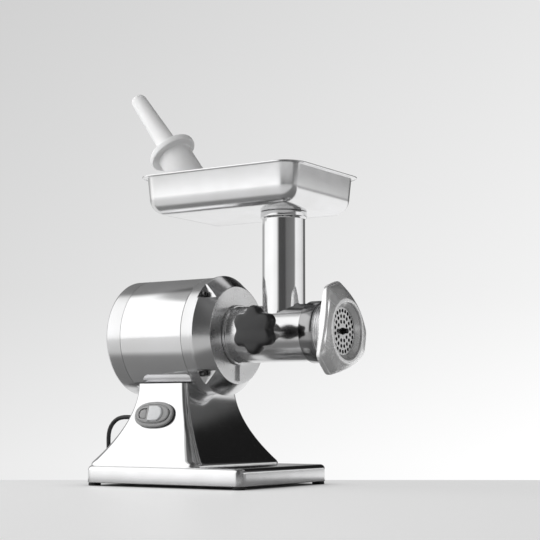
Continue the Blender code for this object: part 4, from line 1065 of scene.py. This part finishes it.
def make_gland():
    node = "cable_gland"
    centre = middle(node)
    end = high(node).y
    start = low(node).y
    bore = CORD_DIAMETER / 2 + GAP
    profile = [(bore, start), (0.0069, start), (0.0069, start + 0.014)]
    profile += [(0.0100, start + 0.014), (0.0100, start + 0.018), (0.0062, start + 0.020)]
    ribs = 4
    run = end - start - 0.021
    for rib in range(ribs):
        y = start + 0.021 + run * rib / ribs
        size = 0.0060 - 0.0014 * rib / ribs
        for narrower, share in ((0.0, 0.0), (0.0, 0.55), (0.0009, 0.6), (0.0009, 0.95)):
            profile.append((size - narrower, y + share * run / ribs))
    profile += [(0.0045, end), (bore, end)]
    place = Matrix.Translation((centre.x, 0.0, centre.z)) @ ALONG_Y
    mesh = turned_mesh("gland", softened(profile, 0.0004, 3), place, closed=True, segments=48)
    add_piece("ribbed_gland", mesh, RUBBER, "base", node)


# ---------------------------------------------------------------- nodes that keep their CAD shape
KEPT = (
    # Painted shade: the auger and knife show only through the plate's holes, so they get near-black steel.
    (STEEL_SHADE, "auger cutting_knife"),
    (
        STEEL_MACHINED,
        "thrust_washer lock_stud base_plate rotor_shaft layshaft output_shaft front_bearing rear_bearing "
        "output_bearing motor_pinion layshaft_gear layshaft_pinion output_gear plug_pin_1 plug_pin_2 "
        "foot_screw_1 foot_screw_2 foot_screw_3 foot_screw_4",
    ),
    (STEEL_DARK, "stator_core rotor_core"),
    (COPPER, "winding_front winding_rear"),
    (CASTING_INSIDE, "gearbox_plate layshaft_arm"),
    (RUBBER, "oil_seal"),
    (BLACK, "cooling_fan switch_body"),
    (GREY, "run_capacitor"),
    (WHITE, "terminal_block"),
)


def paint_kept_nodes():
    for material, nodes in KEPT:
        for node in nodes.split():
            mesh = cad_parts[node].data
            mesh.materials.clear()
            mesh.materials.append(material)


# ---------------------------------------------------------------- studio
TABLE_DEPTH = 2.05  # from the camera to the line where the table gives way to the sweep
FLOOR_HALF = 8.0
FORWARD = Vector((-math.sin(CAMERA_AZIMUTH), math.cos(CAMERA_AZIMUTH), 0.0))
RIGHT = Vector((math.cos(CAMERA_AZIMUTH), math.sin(CAMERA_AZIMUTH), 0.0))
BACKDROP_HALF_WIDTH = 0.19  # sideways part of the direction at the edge of the backdrop's gradient
# Brightness at the left edge, by the direction's height from 0 straight down to 1 straight up.
BACKDROP_LEFT = [(0.0, 0.86), (0.485, 0.84), (0.545, 0.725), (0.65, 0.635), (1.0, 0.60)]
BACKDROP_GAIN = 1.23  # right edge over left edge
TABLE_FILL = 0.53
TABLE_SHADE_REACH = 0.06
TABLE_BRIGHT_FROM = -0.26  # x where the table's brighter part starts, as the polished steel shows it
TABLE_BRIGHT = 0.45


def make_floor():
    bm = bmesh.new()
    bmesh.ops.create_grid(bm, x_segments=1, y_segments=1, size=FLOOR_HALF)
    floor = bpy.data.objects.new("floor", finish_mesh("floor", bm))
    bpy.context.scene.collection.objects.link(floor)
    floor.data.materials.append(floor_material())


def math_node(tree, operation, first, second=0.0):
    node = tree.nodes.new("ShaderNodeMath")
    node.operation = operation
    for socket, value in zip(node.inputs, (first, second)):
        if isinstance(value, float):
            socket.default_value = value
        else:
            tree.links.new(value, socket)
    return node.outputs["Value"]


def vector_node(tree, operation, first, second=None, output="Vector"):
    node = tree.nodes.new("ShaderNodeVectorMath")
    node.operation = operation
    tree.links.new(first, node.inputs[0])
    if second is not None:
        node.inputs[1].default_value = second
    return node.outputs[output]


def ramp_node(tree, factor, stops):
    """Brightness along a factor, from (place, brightness) pairs."""
    node = tree.nodes.new("ShaderNodeValToRGB")
    elements = node.color_ramp.elements
    while len(elements) < len(stops):
        elements.new(0.5)
    for element, (place, value) in zip(elements, stops):
        element.position = place
        element.color = (value, value, value, 1.0)
    tree.links.new(factor, node.inputs["Fac"])
    return node.outputs["Color"]


def rise_node(tree, value, start, end, least=0.0, most=1.0, smooth=True):
    node = tree.nodes.new("ShaderNodeMapRange")
    node.interpolation_type = "SMOOTHSTEP" if smooth else "LINEAR"
    for socket, setting in zip(("From Min", "From Max", "To Min", "To Max"), (start, end, least, most)):
        node.inputs[socket].default_value = setting
    tree.links.new(value, node.inputs["Value"])
    return node.outputs["Result"]


def backdrop_shade(tree, direction):
    """Brightness of the backdrop in a direction: lighter low down and to the right."""
    split = tree.nodes.new("ShaderNodeSeparateXYZ")
    tree.links.new(direction, split.inputs["Vector"])
    height = rise_node(tree, split.outputs["Z"], -1.0, 1.0, smooth=False)
    sideways = vector_node(tree, "DOT_PRODUCT", direction, RIGHT, "Value")
    width = BACKDROP_HALF_WIDTH
    gain = rise_node(tree, sideways, -width, width, 1.0, BACKDROP_GAIN, smooth=False)
    return math_node(tree, "MULTIPLY", ramp_node(tree, height, BACKDROP_LEFT), gain)


def floor_material():
    """A pale table up to a straight line behind the object, and the backdrop's sweep beyond it."""
    material = new_material("floor", (0.36, 0.36, 0.36), 0.0, 0.50)
    tree = material.node_tree
    place = tree.nodes.new("ShaderNodeTexCoord").outputs["Object"]
    depth = vector_node(tree, "DOT_PRODUCT", place, FORWARD, "Value")
    line = FORWARD.dot(Vector(CAMERA_PLACE)) + TABLE_DEPTH
    beyond = rise_node(tree, depth, line - 0.004, line + 0.004)
    direction = vector_node(tree, "NORMALIZE", vector_node(tree, "SUBTRACT", place, CAMERA_PLACE))
    sweep = tree.nodes.new("ShaderNodeEmission")
    tree.links.new(backdrop_shade(tree, direction), sweep.inputs["Strength"])
    fill = tree.nodes.new("ShaderNodeEmission")
    tree.links.new(table_glow(tree, place), fill.inputs["Strength"])
    table = tree.nodes.new("ShaderNodeAddShader")
    tree.links.new(shader_of(material).outputs["BSDF"], table.inputs[0])
    tree.links.new(fill.outputs["Emission"], table.inputs[1])
    mix = tree.nodes.new("ShaderNodeMixShader")
    tree.links.new(beyond, mix.inputs["Fac"])
    tree.links.new(table.outputs["Shader"], mix.inputs[1])
    tree.links.new(sweep.outputs["Emission"], mix.inputs[2])
    tree.links.new(mix.outputs["Shader"], tree.nodes["Material Output"].inputs["Surface"])
    return material


def table_glow(tree, place):
    """Light added to the table: where the object doesn't shade it, and in reflections only on the left."""
    seen = tree.nodes.new("ShaderNodeLightPath").outputs["Is Camera Ray"]
    open_sky = tree.nodes.new("ShaderNodeAmbientOcclusion")
    open_sky.inputs["Distance"].default_value = TABLE_SHADE_REACH
    open_sky.samples = 8
    shown = math_node(tree, "MULTIPLY", open_sky.outputs["AO"], TABLE_FILL)
    split = tree.nodes.new("ShaderNodeSeparateXYZ")
    tree.links.new(place, split.inputs["Vector"])
    full = TABLE_BRIGHT_FROM - 0.15
    mirrored = rise_node(tree, split.outputs["X"], TABLE_BRIGHT_FROM, full, 0.0, TABLE_BRIGHT)
    first = math_node(tree, "MULTIPLY", seen, shown)
    hidden = math_node(tree, "SUBTRACT", 1.0, seen)
    return math_node(tree, "ADD", first, math_node(tree, "MULTIPLY", hidden, mirrored))


# Studio brightness round the object, by degrees from the camera to its right, one ring for each height.
# Each ring holds above its height, the sine of its elevation.
STUDIO_RINGS = [
    (
        -1.0,
        [
            (-180, 0.35), (-122, 0.50), (-108, 1.20), (-66, 1.35), (-40, 1.10), (-26, 0.08), (14, 0.10),
            (58, 0.14), (80, 0.30), (130, 0.30), (180, 0.35),
        ],
    ),
    (
        0.045,
        [
            (-180, 0.40), (-132, 0.50), (-120, 1.30), (-66, 1.40), (-40, 1.20), (-26, 0.09), (4, 0.08),
            (14, 0.20), (58, 0.26), (66, 1.20), (104, 1.00), (122, 0.75), (132, 0.10), (150, 0.15),
            (180, 0.40),
        ],
    ),
    (
        0.22,
        [
            (-180, 0.20), (-136, 0.30), (-124, 1.35), (-66, 1.40), (-40, 1.20), (-26, 0.10), (14, 0.09),
            (24, 0.20), (62, 0.22), (90, 0.10), (119, 0.10), (124, 0.012), (162, 0.012), (180, 0.20),
        ],
    ),
    (
        0.80,
        [
            (-180, 0.10), (-138, 0.15), (-126, 0.42), (-50, 0.75), (-30, 0.05), (10, 0.06), (24, 0.17),
            (60, 0.15), (84, 0.10), (96, 0.30), (104, 0.012), (150, 0.012), (180, 0.03),
        ],
    ),
    (
        0.90,
        [
            (-180, 0.05), (-120, 0.12), (-60, 0.12), (0, 0.05), (60, 0.14), (100, 0.012), (150, 0.012),
            (180, 0.05),
        ],
    ),
]
RING_SOFTNESS = 0.02
STUDIO_PEAK = 1.4
MATTE_GAIN = 1.9  # matt surfaces get this much more light than shiny ones reflect


def make_world():
    """Soft boxes round the object for light and reflections, and a plain backdrop for the camera."""
    world = bpy.data.worlds.new("studio")
    bpy.context.scene.world = world
    world.use_nodes = True
    tree = world.node_tree
    direction = tree.nodes.new("ShaderNodeTexCoord").outputs["Generated"]
    toward = vector_node(tree, "DOT_PRODUCT", direction, -FORWARD, "Value")
    sideways = vector_node(tree, "DOT_PRODUCT", direction, RIGHT, "Value")
    share = rise_node(tree, math_node(tree, "ARCTAN2", sideways, toward), -math.pi, math.pi, smooth=False)
    split = tree.nodes.new("ShaderNodeSeparateXYZ")
    tree.links.new(direction, split.inputs["Vector"])
    shade = None
    for height, ring in STUDIO_RINGS:
        stops = [(degrees / 360 + 0.5, value / STUDIO_PEAK) for degrees, value in ring]
        level = ramp_node(tree, share, stops)
        if shade is None:
            shade = level
            continue
        mix = tree.nodes.new("ShaderNodeMix")
        mix.data_type = "RGBA"
        above = rise_node(tree, split.outputs["Z"], height - RING_SOFTNESS, height + RING_SOFTNESS)
        tree.links.new(above, mix.inputs["Factor"])
        tree.links.new(shade, mix.inputs["A"])
        tree.links.new(level, mix.inputs["B"])
        shade = mix.outputs["Result"]
    studio = tree.nodes.new("ShaderNodeBackground")
    diffuse = tree.nodes.new("ShaderNodeLightPath").outputs["Is Diffuse Ray"]
    strength = rise_node(tree, diffuse, 0.0, 1.0, STUDIO_PEAK, STUDIO_PEAK * MATTE_GAIN, smooth=False)
    tree.links.new(strength, studio.inputs["Strength"])
    tree.links.new(shade, studio.inputs["Color"])
    backdrop = tree.nodes.new("ShaderNodeBackground")
    backdrop.inputs["Color"].default_value = (1.0, 1.0, 1.0, 1.0)
    tree.links.new(backdrop_shade(tree, direction), backdrop.inputs["Strength"])
    rays = tree.nodes.new("ShaderNodeLightPath")
    mix = tree.nodes.new("ShaderNodeMixShader")
    tree.links.new(rays.outputs["Is Camera Ray"], mix.inputs["Fac"])
    tree.links.new(studio.outputs["Background"], mix.inputs[1])
    tree.links.new(backdrop.outputs["Background"], mix.inputs[2])
    tree.links.new(mix.outputs["Shader"], tree.nodes["World Output"].inputs["Surface"])


bpy.context.scene.view_settings.view_transform = "Standard"
make_camera()
make_cord()
make_base()
make_feet()
make_switch()
make_drum()
make_rear_cover()
make_front_cover()
make_screws()
make_sleeve()
make_knob()
make_barrel()
make_tube()
make_plate()
make_nut()
make_pan()
make_pusher()
make_gland()
paint_kept_nodes()
make_floor()
make_world()
